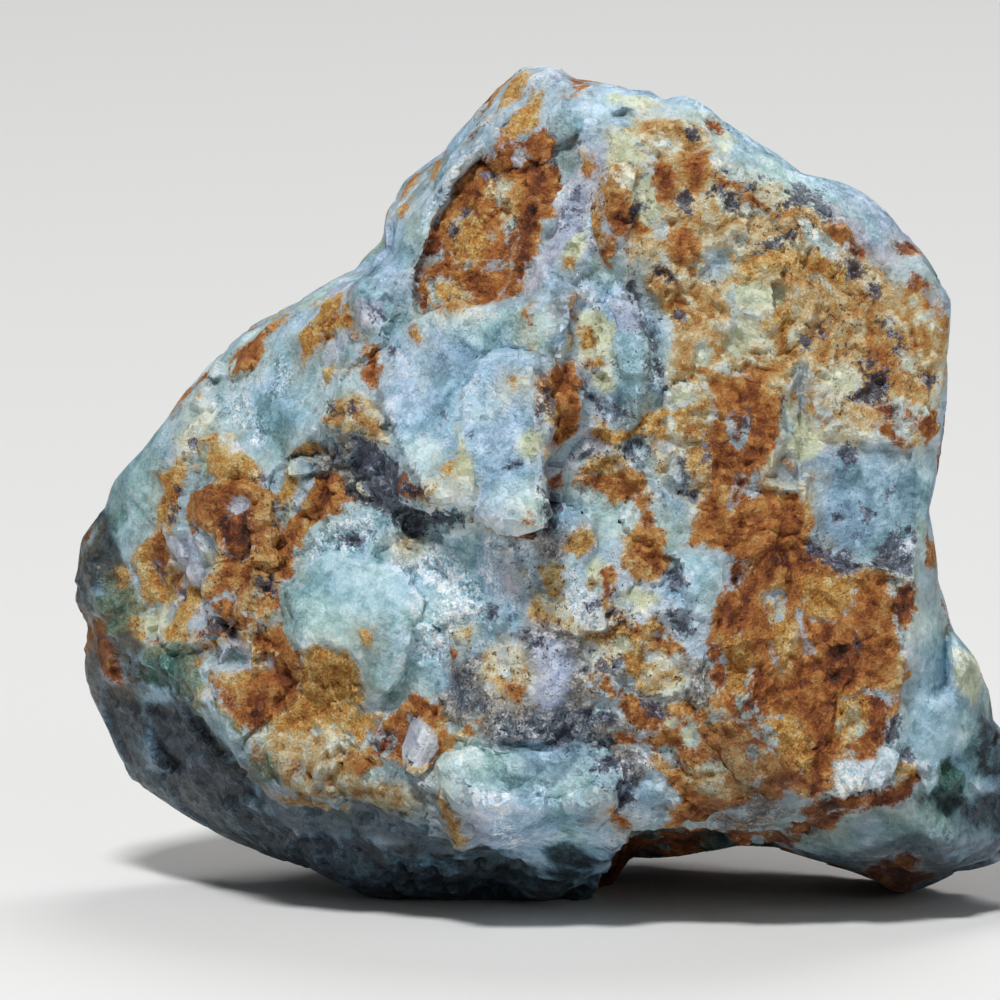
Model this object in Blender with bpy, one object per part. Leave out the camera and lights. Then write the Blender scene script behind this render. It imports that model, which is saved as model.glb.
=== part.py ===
"""A rough opal: one broken lump of blue-green common opal with rusty limonite crusts.

The stone is about 45 mm wide, 30 mm deep and 38 mm high, with its best face towards -Y. It stands on
flat spots at z = 0, and the origin is under the middle of its box.

The form is worked out in a face frame, in millimetres from the heart of the stone: across to the
right, rise upwards, and depth away from the viewer. The face frame leans back by FACE_LEAN.
1. Rays go out from the heart in every direction. A ray ends where it first meets one of the planes
   along which the stone broke or the walls that join the outline of the face to that of the back,
   with each meeting rounded a little. The stone is two such lumps grown into one, the block on the
   right and the lower lump on the left, so a ray goes on to the farther of the two.
2. The form is widened near its rim until its outline is the one that is read on the face.
3. Terraces, domes and lines raise or lower the face along the depth.
4. Flat facets of three sizes roughen it all over, the largest only on the sides and the back.
"""
import math

import bmesh
import bpy
import numpy as np

MILLIMETRE = 0.001

# Driving dimensions, in millimetres but for the readings on the face, which are in pixels
PIXELS_PER_MM = 22.0
HEART_PIXEL = (550.0, 480.0)
HEART_DEPTH = 2.0
HEART_PLACE = (-0.30, -2.20, 18.96)
FACE_LEAN = math.radians(8.0)

# Fineness of the mesh
CUBE_CUTS = 63
FRONT_CROWDING = 0.25
SHARE_OF_TRIANGLES_KEPT = 0.165

# The outline read on the face: across and down in pixels, and its depth in millimetres
OUTLINE = (
    (522, 69, -2.0), (545, 67, -2.0), (562, 71, -3.0), (574, 82, -4.0), (612, 87, -5.0), (648, 92, -6.0),
    (664, 103, -6.5), (672, 99, -5.0), (685, 97, -5.0), (698, 101, -5.5), (720, 122, -6.0),
    (760, 148, -6.0), (800, 176, -6.0), (840, 184, -5.5), (860, 193, -5.5), (900, 225, -6.0),
    (920, 252, -6.5), (940, 281, -7.0), (948, 302, -7.5), (943, 360, -8.0), (943, 420, -8.0),
    (938, 450, -8.0), (926, 510, -7.5), (932, 545, -7.0), (936, 580, -6.5), (951, 630, -5.0),
    (975, 660, -4.0), (987, 690, -3.5), (992, 722, -3.0), (1018, 748, -1.5), (1038, 778, 0.0),
    (1046, 805, 0.0), (1036, 832, 0.0), (1000, 862, 0.0), (960, 872, 1.0), (925, 887, 3.0),
    (905, 894, 4.0), (885, 889, 3.0), (868, 874, -1.0), (830, 862, -3.0), (780, 845, -6.0),
    (735, 845, -8.0), (700, 853, -9.0), (674, 856, -9.5), (631, 858, -9.5), (622, 871, -8.0),
    (606, 893, -2.0), (590, 915, 1.0), (400, 915, 2.0), (350, 892, 3.0), (300, 870, 4.0),
    (250, 850, 4.5), (174, 810, 6.0), (129, 780, 6.0), (101, 720, 5.5), (86, 690, 5.5),
    (79, 630, 5.5), (68, 600, 6.0), (76, 570, 5.0), (80, 540, 5.0), (101, 510, 4.5),
    (114, 480, 4.0), (142, 450, 4.0), (166, 420, 4.0), (186, 390, 4.5), (210, 360, 5.0),
    (243, 330, 6.0), (299, 300, 5.0), (355, 270, 3.0), (382, 240, 4.0), (387, 210, 7.0),
    (404, 180, 8.0), (430, 160, 6.0), (446, 150, 3.0), (472, 120, 0.0), (496, 90, -1.0),
)
# The plainer outline of the back, at one depth, and how fast the walls draw in before the outline
REAR_OUTLINE = (
    (560, 155), (700, 185), (805, 250), (855, 345), (840, 485), (885, 605), (940, 742), (870, 830),
    (640, 845), (590, 898), (400, 898), (295, 808), (195, 735), (170, 620), (192, 513), (290, 400),
    (345, 330), (395, 210), (462, 155),
)
REAR_DEPTH = 12.0
DRAWING_IN_BEFORE = 0.08

# Planes of breakage: a pixel on the plane, its depth there, and how fast the depth grows across and up
SHARED_FACES = {
    "main face": (770, 460, -9.5, 0.06, 0.05),
    "front underside": (450, 829, -8.0, -0.8, -1.2),
    "lower front": (580, 800, -10.3, 0.0, -0.35),
    "right lobe": (960, 700, -7.2, 0.95, 0.0),
    "right underside": (920, 830, -7.5, 0.0, -2.5),
}
BLOCK_FACES = {
    "rusty slab": (485, 230, -7.6, -0.45, 0.3),
    "cliff behind the slab": (430, 191, -4.4, -2.6, 2.2),
    "left side": (386, 400, -9.2, -1.3, 0.1),
    "lower side": (455, 520, -9.6, -0.9, -1.2),
    "upper right rim": (790, 225, -9.0, 0.65, 0.9),
    "top rim": (620, 130, -8.3, 0.1, 0.9),
    "knob": (520, 110, -6.6, -0.3, 0.7),
    "right rim": (925, 420, -9.2, 1.6, 0.0),
}
LEFT_FACES = {
    "shoulder": (290, 390, -3.5, -0.7, 1.1),
    "shoulder top": (300, 330, -0.6, -0.5, 2.2),
    "lower left": (260, 600, -4.8, -0.5, 0.05),
    "far left": (110, 600, 2.6, -1.5, 0.1),
    "slate plane": (200, 700, -3.2, -2.1, -0.75),
    "left underside": (290, 790, -5.6, -1.2, -1.5),
}
BACK_FACES = {
    "back": (620, 500, 15.5, -0.15, -0.1),
    "left back": (200, 600, 9.5, 0.6, 0.1),
    "top back": (560, 150, 8.0, 0.1, -0.9),
    "right back": (900, 450, 7.0, -0.9, 0.1),
    "lower back": (600, 800, 11.0, -0.1, 0.7),
    "upper left back": (330, 330, 9.5, 0.5, -0.7),
}
EDGE_SHARPNESS = 60.0
VALLEY_SHARPNESS = 40.0

# How the form is fitted to the outline: where the widest points are looked for, in steps round the line
# of sight and steps from front to back, how fast the widening fades inwards, and what share is drawn back
# of what still stands out
STEPS_ROUND = 1440
STEPS_BACK = 121
WIDENING_POWER = 4
SHARE_DRAWN_BACK = 0.85

# Terraces: corners, the pixel where the height holds, the height and how fast it grows across and up,
# all in millimetres, and the width of the step at the border in pixels
TERRACES = {
    "central block": (
        ((398, 330), (440, 318), (500, 310), (548, 312), (562, 340), (556, 370), (546, 400), (545, 440),
         (548, 480), (541, 520), (505, 524), (474, 508), (440, 500), (420, 480), (400, 440), (385, 400),
         (384, 360)),
        (545, 500), 1.6, 0.08, -0.12, 16),
    "recess beside the ridge": (
        ((548, 140), (600, 140), (612, 200), (625, 300), (642, 430), (600, 455), (575, 400), (566, 330),
         (562, 300), (548, 250)),
        (590, 240), -0.55, 0.0, -0.05, 40),
    "pale step": (
        ((676, 552), (700, 545), (722, 560), (727, 590), (716, 618), (690, 612), (678, 590)),
        (700, 580), 0.35, 0.0, 0.0, 14),
    "rusty panel": (
        ((712, 550), (770, 535), (812, 545), (900, 575), (905, 640), (898, 740), (880, 780), (815, 800),
         (760, 790), (715, 735), (706, 640)),
        (706, 650), 0.40, -0.02, 0.0, 12),
    "step under the right ledge": (
        ((739, 842), (806, 818), (873, 800), (920, 783), (1000, 790), (1080, 800), (1080, 930), (740, 930)),
        (850, 820), -1.1, 0.0, 0.0, 12),
    "lower front block": (
        ((455, 760), (520, 748), (600, 755), (612, 790), (610, 890), (450, 890), (440, 820)),
        (530, 800), 0.5, 0.0, 0.0, 16),
    "rusty column": (
        ((204, 451), (240, 445), (274, 470), (280, 540), (262, 600), (258, 640), (290, 650), (284, 700),
         (250, 745), (225, 720), (212, 650), (206, 560)),
        (240, 600), 0.5, 0.0, 0.0, 16),
    "rusty slab": (
        ((482, 157), (549, 169), (545, 207), (534, 241), (520, 270), (514, 297), (491, 306), (465, 304),
         (427, 318), (417, 280), (427, 251), (434, 228), (451, 192)),
        (485, 230), -0.25, 0.0, 0.0, 16),
}
# Domes: middle, half width and half height in pixels, clockwise turn in degrees, height in millimetres
DOMES = {
    "scoop in the block": (493, 348, 32, 20, -10, -0.8),
    "navy hollow": (361, 476, 54, 46, 30, -1.9),
    "trough": (432, 524, 44, 18, 15, -0.8),
    "green bump": (352, 622, 92, 80, 0, 1.5),
    "teal knob": (373, 308, 28, 36, 10, 1.1),
    "cream lump": (368, 431, 22, 15, -20, 0.8),
    "lilac lens": (424, 742, 20, 27, 10, 0.5),
    "pale window": (867, 502, 60, 58, 0, -0.35),
    "pit at the top": (614, 121, 15, 11, -20, -0.9),
    "first top lobe": (625, 103, 28, 17, 15, 0.5),
    "second top lobe": (690, 112, 26, 16, 30, 0.5),
    "right lobe": (962, 690, 42, 70, 15, 0.8),
    "olive tongue": (436, 800, 20, 30, 10, 0.4),
    "cavity": (236, 620, 22, 18, 0, -1.4),
    "pale pocket": (233, 660, 25, 16, 0, -0.8),
}
DOME_POWER = 1.5
# Ridges and grooves: the points of the line and its half width in pixels, and its height in mm
LINES = {
    "ridge": (((600, 140), (610, 200), (622, 300), (640, 420)), 12, 0.4),
    "pale band": (((484, 127), (440, 190), (369, 264)), 10, 0.5),
    "groove before the rear bump": (((470, 140), (430, 190), (380, 245)), 10, -0.6),
    "boundary of the right lobe": (((905, 480), (908, 600), (905, 700), (905, 780)), 14, -0.3),
    "crack over the bump": (((375, 568), (395, 545), (413, 526)), 4, -0.4),
    "lip of the left ledge": (
        ((100, 590), (140, 640), (200, 700), (245, 750), (290, 792), (350, 800), (395, 806)), 12, 0.5),
    "shell-shaped arc": (((735, 275), (780, 258), (820, 262), (845, 285)), 8, 0.2),
}
# How crooked the borders of all these are: size and amount in millimetres, and seed
RELIEF_CROOKEDNESS = ((2.2, 0.45, 3), (0.8, 0.16, 6))
# The widths in millimetres over which the relief and the facets fade towards the rim
RELIEF_FADE = 1.2
FACET_FADE = 2.0

# Facets: size and height, size and amount of the crookedness of their edges, all in millimetres, the
# share of the height that is left at the rim, and seed
LARGE_FACETS = (9.0, 1.6, 7.0, 1.5, 0.0, 21)
MIDDLE_FACETS = (4.2, 0.75, 3.5, 0.9, 0.3, 24)
SMALL_FACETS = (1.9, 0.28, 1.5, 0.35, 0.5, 27)
LARGE_FACETS_BEHIND = 4.0


def smooth_step(low, high, value):
    """0 below low, 1 above high, and an S curve between them."""
    part = np.clip((value - low) / (high - low), 0.0, 1.0)
    return part * part * (3.0 - 2.0 * part)


def cell_value(cell, seed):
    """A repeatable scattered number from 0 to 1 for each whole-numbered cell of a grid."""
    x, y, z = (cell[:, axis].astype(np.uint32) for axis in range(3))
    mixed = x * np.uint32(374761393) + y * np.uint32(668265263) + z * np.uint32(2246822519)
    mixed = mixed + np.uint32(seed * 3266489917 % 4294967296)
    mixed = (mixed ^ (mixed >> np.uint32(15))) * np.uint32(2246822519)
    mixed = (mixed ^ (mixed >> np.uint32(13))) * np.uint32(3266489917)
    return (mixed ^ (mixed >> np.uint32(16))) / 4294967296.0


def odd_turned(points, seed):
    """The points turned by odd angles of the seed's own, so that no two grids line up."""
    turn = 0.7 + 1.9 * seed
    tip = 1.1 + 2.3 * seed
    turned = np.array((
        (math.cos(turn), -math.sin(turn), 0.0),
        (math.sin(turn), math.cos(turn), 0.0),
        (0.0, 0.0, 1.0)))
    tipped = np.array((
        (1.0, 0.0, 0.0),
        (0.0, math.cos(tip), -math.sin(tip)),
        (0.0, math.sin(tip), math.cos(tip))))
    return points @ (turned @ tipped)


def facets(points, size, seed):
    """Flat facets from -1 to 1: scattered heights on a grid, joined across six wedges in each cell."""
    scaled = odd_turned(points, seed) / size + 17.3 * seed
    corner = np.floor(scaled).astype(np.int64)
    part = scaled - corner
    order = np.argsort(-part, axis=1)
    share = np.take_along_axis(part, order, axis=1)
    share = np.concatenate([share, np.zeros((len(points), 1))], axis=1)
    height = (1.0 - share[:, 0]) * cell_value(corner, seed)
    rows = np.arange(len(points))
    for step in range(3):
        corner[rows, order[:, step]] += 1
        height += (share[:, step] - share[:, step + 1]) * cell_value(corner, seed)
    return 2.0 * height - 1.0


def soft_noise(points, size, seed):
    """Rounded lumps from -1 to 1: scattered heights on a grid, joined by S curves."""
    scaled = odd_turned(points, seed) / size + 11.9 * seed
    corner = np.floor(scaled).astype(np.int64)
    part = smooth_step(0.0, 1.0, scaled - corner)
    height = np.zeros(len(points))
    for step in np.ndindex(2, 2, 2):
        share = np.prod(np.where(step, part, 1.0 - part), axis=1)
        height += share * cell_value(corner + np.array(step), seed)
    return 2.0 * height - 1.0


def shaken(points, size, amount, seed):
    """The points moved about by soft noise, so that straight borders run crooked."""
    shift = np.stack([soft_noise(points, size, seed + axis) for axis in range(3)], axis=1)
    return points + amount * shift


def from_pixels(pixel_x, pixel_y):
    """Across and rise in millimetres from the heart."""
    return (pixel_x - HEART_PIXEL[0]) / PIXELS_PER_MM, (HEART_PIXEL[1] - pixel_y) / PIXELS_PER_MM


def to_pixels(face):
    """The pixels at which points of the face frame are read."""
    return np.stack([
        HEART_PIXEL[0] + face[:, 0] * PIXELS_PER_MM,
        HEART_PIXEL[1] - face[:, 1] * PIXELS_PER_MM], axis=1)


def around(angle, readings, values):
    """Values read along a closed outline, joined by straight runs of the angle round the heart."""
    across, rise = from_pixels(readings[:, 0], readings[:, 1])
    turn = np.arctan2(rise, across)
    return np.interp(angle, turn, np.hypot(across, rise) if values is None else values,
                     period=2.0 * math.pi)


def outline_at(angle):
    """How far the outline lies from the heart's line of sight at an angle, and its depth there."""
    readings = np.array(OUTLINE)
    return around(angle, readings, None), around(angle, readings, readings[:, 2])


def plane_limit(rays, plane, side):
    """How far each ray goes before it meets a plane; side is 1 for a front face, -1 for a back one."""
    pixel_x, pixel_y, depth, growth_across, growth_up = plane
    across, rise = from_pixels(pixel_x, pixel_y)
    room = side * (HEART_DEPTH - depth + growth_across * across + growth_up * rise)
    closing = -side * (rays[:, 2] - growth_across * rays[:, 0] - growth_up * rays[:, 1])
    return room / np.maximum(closing, 1e-6)


def wall_limits(rays):
    """How far each ray goes before it meets the walls before and behind the outline."""
    angle = np.arctan2(rays[:, 1], rays[:, 0])
    level = np.hypot(rays[:, 0], rays[:, 1])
    reach, depth = outline_at(angle)
    ahead = depth - HEART_DEPTH
    drawing_in = (reach - around(angle, np.array(REAR_OUTLINE), None)) / (REAR_DEPTH - depth)
    before = (reach - DRAWING_IN_BEFORE * ahead) / np.maximum(level - DRAWING_IN_BEFORE * rays[:, 2], 1e-6)
    behind = (reach + drawing_in * ahead) / np.maximum(level + drawing_in * rays[:, 2], 1e-6)
    return [before, behind]


def rounded_least(limits):
    """The least of the limits along each ray, a little less where two of them are nearly equal."""
    least = limits.min(axis=0)
    return least * ((least / limits) ** EDGE_SHARPNESS).sum(axis=0) ** (-1.0 / EDGE_SHARPNESS)


def lump_reach(rays, own_faces):
    """How far each ray goes inside one of the two lumps."""
    limits = wall_limits(rays)
    limits += [plane_limit(rays, plane, 1.0) for plane in SHARED_FACES.values()]
    limits += [plane_limit(rays, plane, 1.0) for plane in own_faces.values()]
    limits += [plane_limit(rays, plane, -1.0) for plane in BACK_FACES.values()]
    return rounded_least(np.stack(limits))


def ray_reach(rays):
    """How far each ray goes inside the two lumps together, with the valley between them rounded."""
    block = lump_reach(rays, BLOCK_FACES)
    left = lump_reach(rays, LEFT_FACES)
    farther = np.maximum(block, left)
    nearer = np.minimum(block, left)
    return farther * (1.0 + (nearer / farther) ** VALLEY_SHARPNESS) ** (1.0 / VALLEY_SHARPNESS)


def widened(face, angle):
    """The points moved out near the rim, so that the widest of them lie on the outline."""
    turns = np.linspace(-math.pi, math.pi, STEPS_ROUND, endpoint=False)
    tips = np.linspace(0.0, math.pi, STEPS_BACK + 2)[1:-1]
    turn, tip = np.meshgrid(turns, tips, indexing="ij")
    rays = np.stack([np.cos(turn) * np.sin(tip), np.sin(turn) * np.sin(tip), -np.cos(tip)], axis=-1)
    reach = ray_reach(rays.reshape(-1, 3)).reshape(turn.shape)
    widest = (reach * np.sin(tip)).max(axis=1)
    widening = np.interp(angle, turns, outline_at(turns)[0] / widest, period=2.0 * math.pi)
    widest = np.interp(angle, turns, widest, period=2.0 * math.pi)
    inner = np.clip(np.hypot(face[:, 0], face[:, 1]) / widest, 0.0, 1.0)
    face[:, :2] *= (1.0 + (widening - 1.0) * inner ** WIDENING_POWER)[:, None]
    return face


def inside_distance(pixel, corners):
    """The distance in pixels from a closed border, less than 0 outside it."""
    corners = np.array(corners, dtype=float)
    nearest = np.full(len(pixel), np.inf)
    crossings = np.zeros(len(pixel), dtype=int)
    for start, end in zip(corners, np.roll(corners, -1, axis=0)):
        nearest = np.minimum(nearest, run_distance(pixel, start, end))
        spans = (start[1] <= pixel[:, 1]) != (end[1] <= pixel[:, 1])
        drop = end[1] - start[1] if end[1] != start[1] else 1e-9
        crossed_at = start[0] + (pixel[:, 1] - start[1]) / drop * (end[0] - start[0])
        crossings += spans & (pixel[:, 0] < crossed_at)
    return np.where(crossings % 2 == 1, nearest, -nearest)


def run_distance(pixel, start, end):
    """The distance in pixels from one straight run."""
    run = end - start
    part = np.clip(((pixel - start) @ run) / (run @ run), 0.0, 1.0)
    gap = pixel - start - part[:, None] * run
    return np.hypot(gap[:, 0], gap[:, 1])


def line_distance(pixel, corners):
    """The distance in pixels from a bent line."""
    corners = np.array(corners, dtype=float)
    runs = [run_distance(pixel, start, end) for start, end in zip(corners[:-1], corners[1:])]
    return np.min(runs, axis=0)


def relief(pixel):
    """The height of the terraces, domes and lines over the broken face, in millimetres."""
    height = np.zeros(len(pixel))
    for corners, place, level, growth_across, growth_up, border in TERRACES.values():
        inside = smooth_step(-border / 2.0, border / 2.0, inside_distance(pixel, corners))
        across = (pixel[:, 0] - place[0]) / PIXELS_PER_MM
        rise = (place[1] - pixel[:, 1]) / PIXELS_PER_MM
        height += inside * (level + growth_across * across + growth_up * rise)
    for middle_x, middle_y, half_width, half_height, turn, level in DOMES.values():
        cos_turn, sin_turn = math.cos(math.radians(turn)), math.sin(math.radians(turn))
        right = pixel[:, 0] - middle_x
        down = pixel[:, 1] - middle_y
        along = (right * cos_turn + down * sin_turn) / half_width
        athwart = (down * cos_turn - right * sin_turn) / half_height
        height += level * np.clip(1.0 - along ** 2 - athwart ** 2, 0.0, 1.0) ** DOME_POWER
    for corners, half_width, level in LINES.values():
        height += level * np.exp(-(line_distance(pixel, corners) / half_width) ** 2)
    return height


def with_relief(face):
    """The points of the face moved along the depth by the relief, which fades out at the rim."""
    outline, depth = outline_at(np.arctan2(face[:, 1], face[:, 0]))
    margin = outline - np.hypot(face[:, 0], face[:, 1])
    seen = smooth_step(-1.0, 0.0, depth - face[:, 2]) * smooth_step(0.0, RELIEF_FADE, margin)
    crooked = face
    for size, amount, seed in RELIEF_CROOKEDNESS:
        crooked = shaken(crooked, size, amount, seed)
    face[:, 2] -= relief(to_pixels(crooked)) * seen
    return face


def crooked_facets(face, from_rim, kind):
    """The height of one kind of facets, which is lower at the rim."""
    size, height, crooked_size, crooked_amount, left_at_rim, seed = kind
    share = left_at_rim + (1.0 - left_at_rim) * from_rim
    return share * height * facets(shaken(face, crooked_size, crooked_amount, seed), size, seed + 3)


def with_facets(face, rays):
    """The points moved along their rays by the facets."""
    outline, depth = outline_at(np.arctan2(face[:, 1], face[:, 0]))
    margin = outline - np.hypot(face[:, 0], face[:, 1])
    behind = face[:, 2] - depth
    from_rim = smooth_step(0.0, FACET_FADE, np.maximum(margin, behind))
    height = crooked_facets(face, smooth_step(0.0, LARGE_FACETS_BEHIND, behind), LARGE_FACETS)
    height += crooked_facets(face, from_rim, MIDDLE_FACETS)
    height += crooked_facets(face, from_rim, SMALL_FACETS)
    return face + rays * height[:, None]


def held_in_outline(face):
    """What stands out past the outline is drawn back most of the way."""
    outline = outline_at(np.arctan2(face[:, 1], face[:, 0]))[0]
    reach = np.hypot(face[:, 0], face[:, 1])
    excess = np.maximum(reach - outline, 0.0)
    face[:, :2] *= (1.0 - SHARE_DRAWN_BACK * excess / np.maximum(reach, 1e-6))[:, None]
    return face


def to_part(face):
    """From the face frame to the part's own, still in millimetres."""
    across, rise, depth = face.T
    lean_cos, lean_sin = math.cos(FACE_LEAN), math.sin(FACE_LEAN)
    back = depth * lean_cos + rise * lean_sin
    up = rise * lean_cos - depth * lean_sin
    return np.stack([across, back, up], axis=1) + np.array(HEART_PLACE)


def stone_surface(rays):
    """The point of the stone's surface on each ray, in millimetres in the part's own frame."""
    face = rays * ray_reach(rays)[:, None]
    face[:, 2] += HEART_DEPTH
    face = widened(face, np.arctan2(rays[:, 1], rays[:, 0]))
    face = with_relief(face)
    face = with_facets(face, rays)
    return to_part(held_in_outline(face))


def rays_through(cube_points):
    """Even directions through the points of a cube, crowded a little towards the face."""
    rays = np.tan(cube_points * (math.pi / 4.0))
    rays /= np.linalg.norm(rays, axis=1)[:, None]
    rays[:, 2] -= FRONT_CROWDING
    return rays / np.linalg.norm(rays, axis=1)[:, None]


def opal_material():
    material = bpy.data.materials.new("pale_opal")
    material.use_nodes = True
    shader = material.node_tree.nodes["Principled BSDF"]
    shader.inputs["Base Color"].default_value = (0.42, 0.50, 0.46, 1.0)
    shader.inputs["Roughness"].default_value = 0.45
    shader.inputs["Metallic"].default_value = 0.0
    return material


def make_stone(collection):
    shape = bmesh.new()
    bmesh.ops.create_cube(shape, size=2.0)
    bmesh.ops.subdivide_edges(shape, edges=shape.edges[:], cuts=CUBE_CUTS, use_grid_fill=True)
    cube_points = np.array([corner.co[:] for corner in shape.verts])
    for corner, place in zip(shape.verts, stone_surface(rays_through(cube_points))):
        corner.co = place * MILLIMETRE
    bmesh.ops.recalc_face_normals(shape, faces=shape.faces[:])
    bmesh.ops.triangulate(shape, faces=shape.faces[:])
    mesh = bpy.data.meshes.new("opal_stone")
    shape.to_mesh(mesh)
    shape.free()
    mesh.materials.append(opal_material())
    stone = bpy.data.objects.new("opal_stone", mesh)
    collection.objects.link(stone)
    thinning = stone.modifiers.new("fewer triangles", "DECIMATE")
    thinning.ratio = SHARE_OF_TRIANGLES_KEPT
    return stone


def make_ground_cutter(collection):
    """A block whose top, at z = 0, cuts the flat spots that the stone rests on."""
    width, depth, height = 0.080, 0.060, 0.020
    bpy.ops.mesh.primitive_cube_add(size=1.0, location=(0.0, 0.0, -height / 2.0))
    cutter = bpy.context.object
    cutter.name = "ground_cutter"
    cutter.scale = (width, depth, height)
    cutter.hide_render = True
    cutter.display_type = "WIRE"
    for holder in list(cutter.users_collection):
        holder.objects.unlink(cutter)
    collection.objects.link(cutter)
    return cutter


def new_collection(name):
    collection = bpy.data.collections.new(name)
    bpy.context.scene.collection.children.link(collection)
    return collection


def main():
    for old in list(bpy.data.objects):
        bpy.data.objects.remove(old, do_unlink=True)
    stone = make_stone(new_collection("rough_opal"))
    flat_spots = stone.modifiers.new("flat spots", "BOOLEAN")
    flat_spots.operation = "DIFFERENCE"
    flat_spots.object = make_ground_cutter(new_collection("cutters"))


main()
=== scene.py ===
"""The looks of a rough opal: a broken lump of blue-green common opal with rusty limonite crusts.

The stone is one piece, 44 mm wide, 30.5 mm deep and 38 mm high, with its best face towards -Y. Its form
is that of the part's own solid, worked out again on a finer mesh and given its ledges, flakes and crumbs.
What shows where is a set of patches on the best face, each with its place read in pixels, and scattered
patches on the sides, back and underside. From how far it lies inside each patch, every vertex gets its
places on the scales of colour and its shares of what lies over them, and the material turns those into
colours, grain, gloss and bumps.
"""

import math

import bpy
import numpy as np
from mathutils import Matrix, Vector


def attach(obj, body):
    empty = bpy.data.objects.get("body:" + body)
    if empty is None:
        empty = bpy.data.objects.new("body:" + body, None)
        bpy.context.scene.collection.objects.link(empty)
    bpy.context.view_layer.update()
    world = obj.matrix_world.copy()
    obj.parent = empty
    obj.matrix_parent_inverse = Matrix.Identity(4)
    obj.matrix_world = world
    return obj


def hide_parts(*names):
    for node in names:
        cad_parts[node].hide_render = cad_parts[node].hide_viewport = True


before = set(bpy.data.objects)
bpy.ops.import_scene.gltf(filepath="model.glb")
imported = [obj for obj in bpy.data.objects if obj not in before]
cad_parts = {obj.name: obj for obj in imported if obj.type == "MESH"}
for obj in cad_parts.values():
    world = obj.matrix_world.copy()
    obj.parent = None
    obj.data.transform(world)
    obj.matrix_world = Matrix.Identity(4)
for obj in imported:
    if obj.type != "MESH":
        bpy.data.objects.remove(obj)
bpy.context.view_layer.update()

MILLIMETRE = 0.001

# The form, as in the part's own source: readings on the best face in pixels, depths and heights in
# millimetres. The heart is the point inside the stone that all rays of its surface start from.
PIXELS_PER_MM = 22.0
HEART_PIXEL = (550.0, 480.0)
HEART_DEPTH = 2.0
HEART_PLACE = (-0.30, -2.20, 18.96)
FACE_LEAN = math.radians(8.0)

# The outline read on the face: across and down in pixels, and its depth in millimetres
OUTLINE = (
    (522, 69, -2.0), (545, 67, -2.0), (562, 71, -3.0), (574, 82, -4.0), (612, 87, -5.0), (648, 92, -6.0),
    (664, 103, -6.5), (672, 99, -5.0), (685, 97, -5.0), (698, 101, -5.5), (720, 122, -6.0),
    (760, 148, -6.0), (800, 176, -6.0), (840, 184, -5.5), (860, 193, -5.5), (900, 225, -6.0),
    (920, 252, -6.5), (940, 281, -7.0), (948, 302, -7.5), (943, 360, -8.0), (943, 420, -8.0),
    (938, 450, -8.0), (926, 510, -7.5), (932, 545, -7.0), (936, 580, -6.5), (951, 630, -5.0),
    (975, 660, -4.0), (987, 690, -3.5), (992, 722, -3.0), (1018, 748, -1.5), (1038, 778, 0.0),
    (1046, 805, 0.0), (1036, 832, 0.0), (1000, 862, 0.0), (960, 872, 1.0), (925, 887, 3.0),
    (905, 894, 4.0), (885, 889, 3.0), (868, 874, -1.0), (830, 862, -3.0), (780, 845, -6.0),
    (735, 845, -8.0), (700, 853, -9.0), (674, 856, -9.5), (631, 858, -9.5), (622, 871, -8.0),
    (606, 893, -2.0), (590, 915, 1.0), (400, 915, 2.0), (350, 892, 3.0), (300, 870, 4.0),
    (250, 850, 4.5), (174, 810, 6.0), (129, 780, 6.0), (101, 720, 5.5), (86, 690, 5.5),
    (79, 630, 5.5), (68, 600, 6.0), (76, 570, 5.0), (80, 540, 5.0), (101, 510, 4.5),
    (114, 480, 4.0), (142, 450, 4.0), (166, 420, 4.0), (186, 390, 4.5), (210, 360, 5.0),
    (243, 330, 6.0), (299, 300, 5.0), (355, 270, 3.0), (382, 240, 4.0), (387, 210, 7.0),
    (404, 180, 8.0), (430, 160, 6.0), (446, 150, 3.0), (472, 120, 0.0), (496, 90, -1.0),
)
# The plainer outline of the back, at one depth, and how fast the walls draw in before the outline
REAR_OUTLINE = (
    (560, 155), (700, 185), (805, 250), (855, 345), (840, 485), (885, 605), (940, 742), (870, 830),
    (640, 845), (590, 898), (400, 898), (295, 808), (195, 735), (170, 620), (192, 513), (290, 400),
    (345, 330), (395, 210), (462, 155),
)
REAR_DEPTH = 12.0
DRAWING_IN_BEFORE = 0.08

# Planes of breakage: a pixel on the plane, its depth there, and how fast the depth grows across and up
SHARED_FACES = {
    "main face": (770, 460, -9.5, 0.06, 0.05),
    "front underside": (450, 829, -8.0, -0.8, -1.2),
    "lower front": (580, 800, -10.3, 0.0, -0.35),
    "right lobe": (960, 700, -7.2, 0.95, 0.0),
    "right underside": (920, 830, -7.5, 0.0, -2.5),
}
BLOCK_FACES = {
    "rusty slab": (485, 230, -7.6, -0.45, 0.3),
    "cliff behind the slab": (430, 191, -4.4, -2.6, 2.2),
    "left side": (386, 400, -9.2, -1.3, 0.1),
    "lower side": (455, 520, -9.6, -0.9, -1.2),
    "upper right rim": (790, 225, -9.0, 0.65, 0.9),
    "top rim": (620, 130, -8.3, 0.1, 0.9),
    "knob": (520, 110, -6.6, -0.3, 0.7),
    "right rim": (925, 420, -9.2, 1.6, 0.0),
}
LEFT_FACES = {
    "shoulder": (290, 390, -3.5, -0.7, 1.1),
    "shoulder top": (300, 330, -0.6, -0.5, 2.2),
    "lower left": (260, 600, -4.8, -0.5, 0.05),
    "far left": (110, 600, 2.6, -1.5, 0.1),
    "slate plane": (200, 700, -3.2, -2.1, -0.75),
    "left underside": (290, 790, -5.6, -1.2, -1.5),
}
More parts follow.
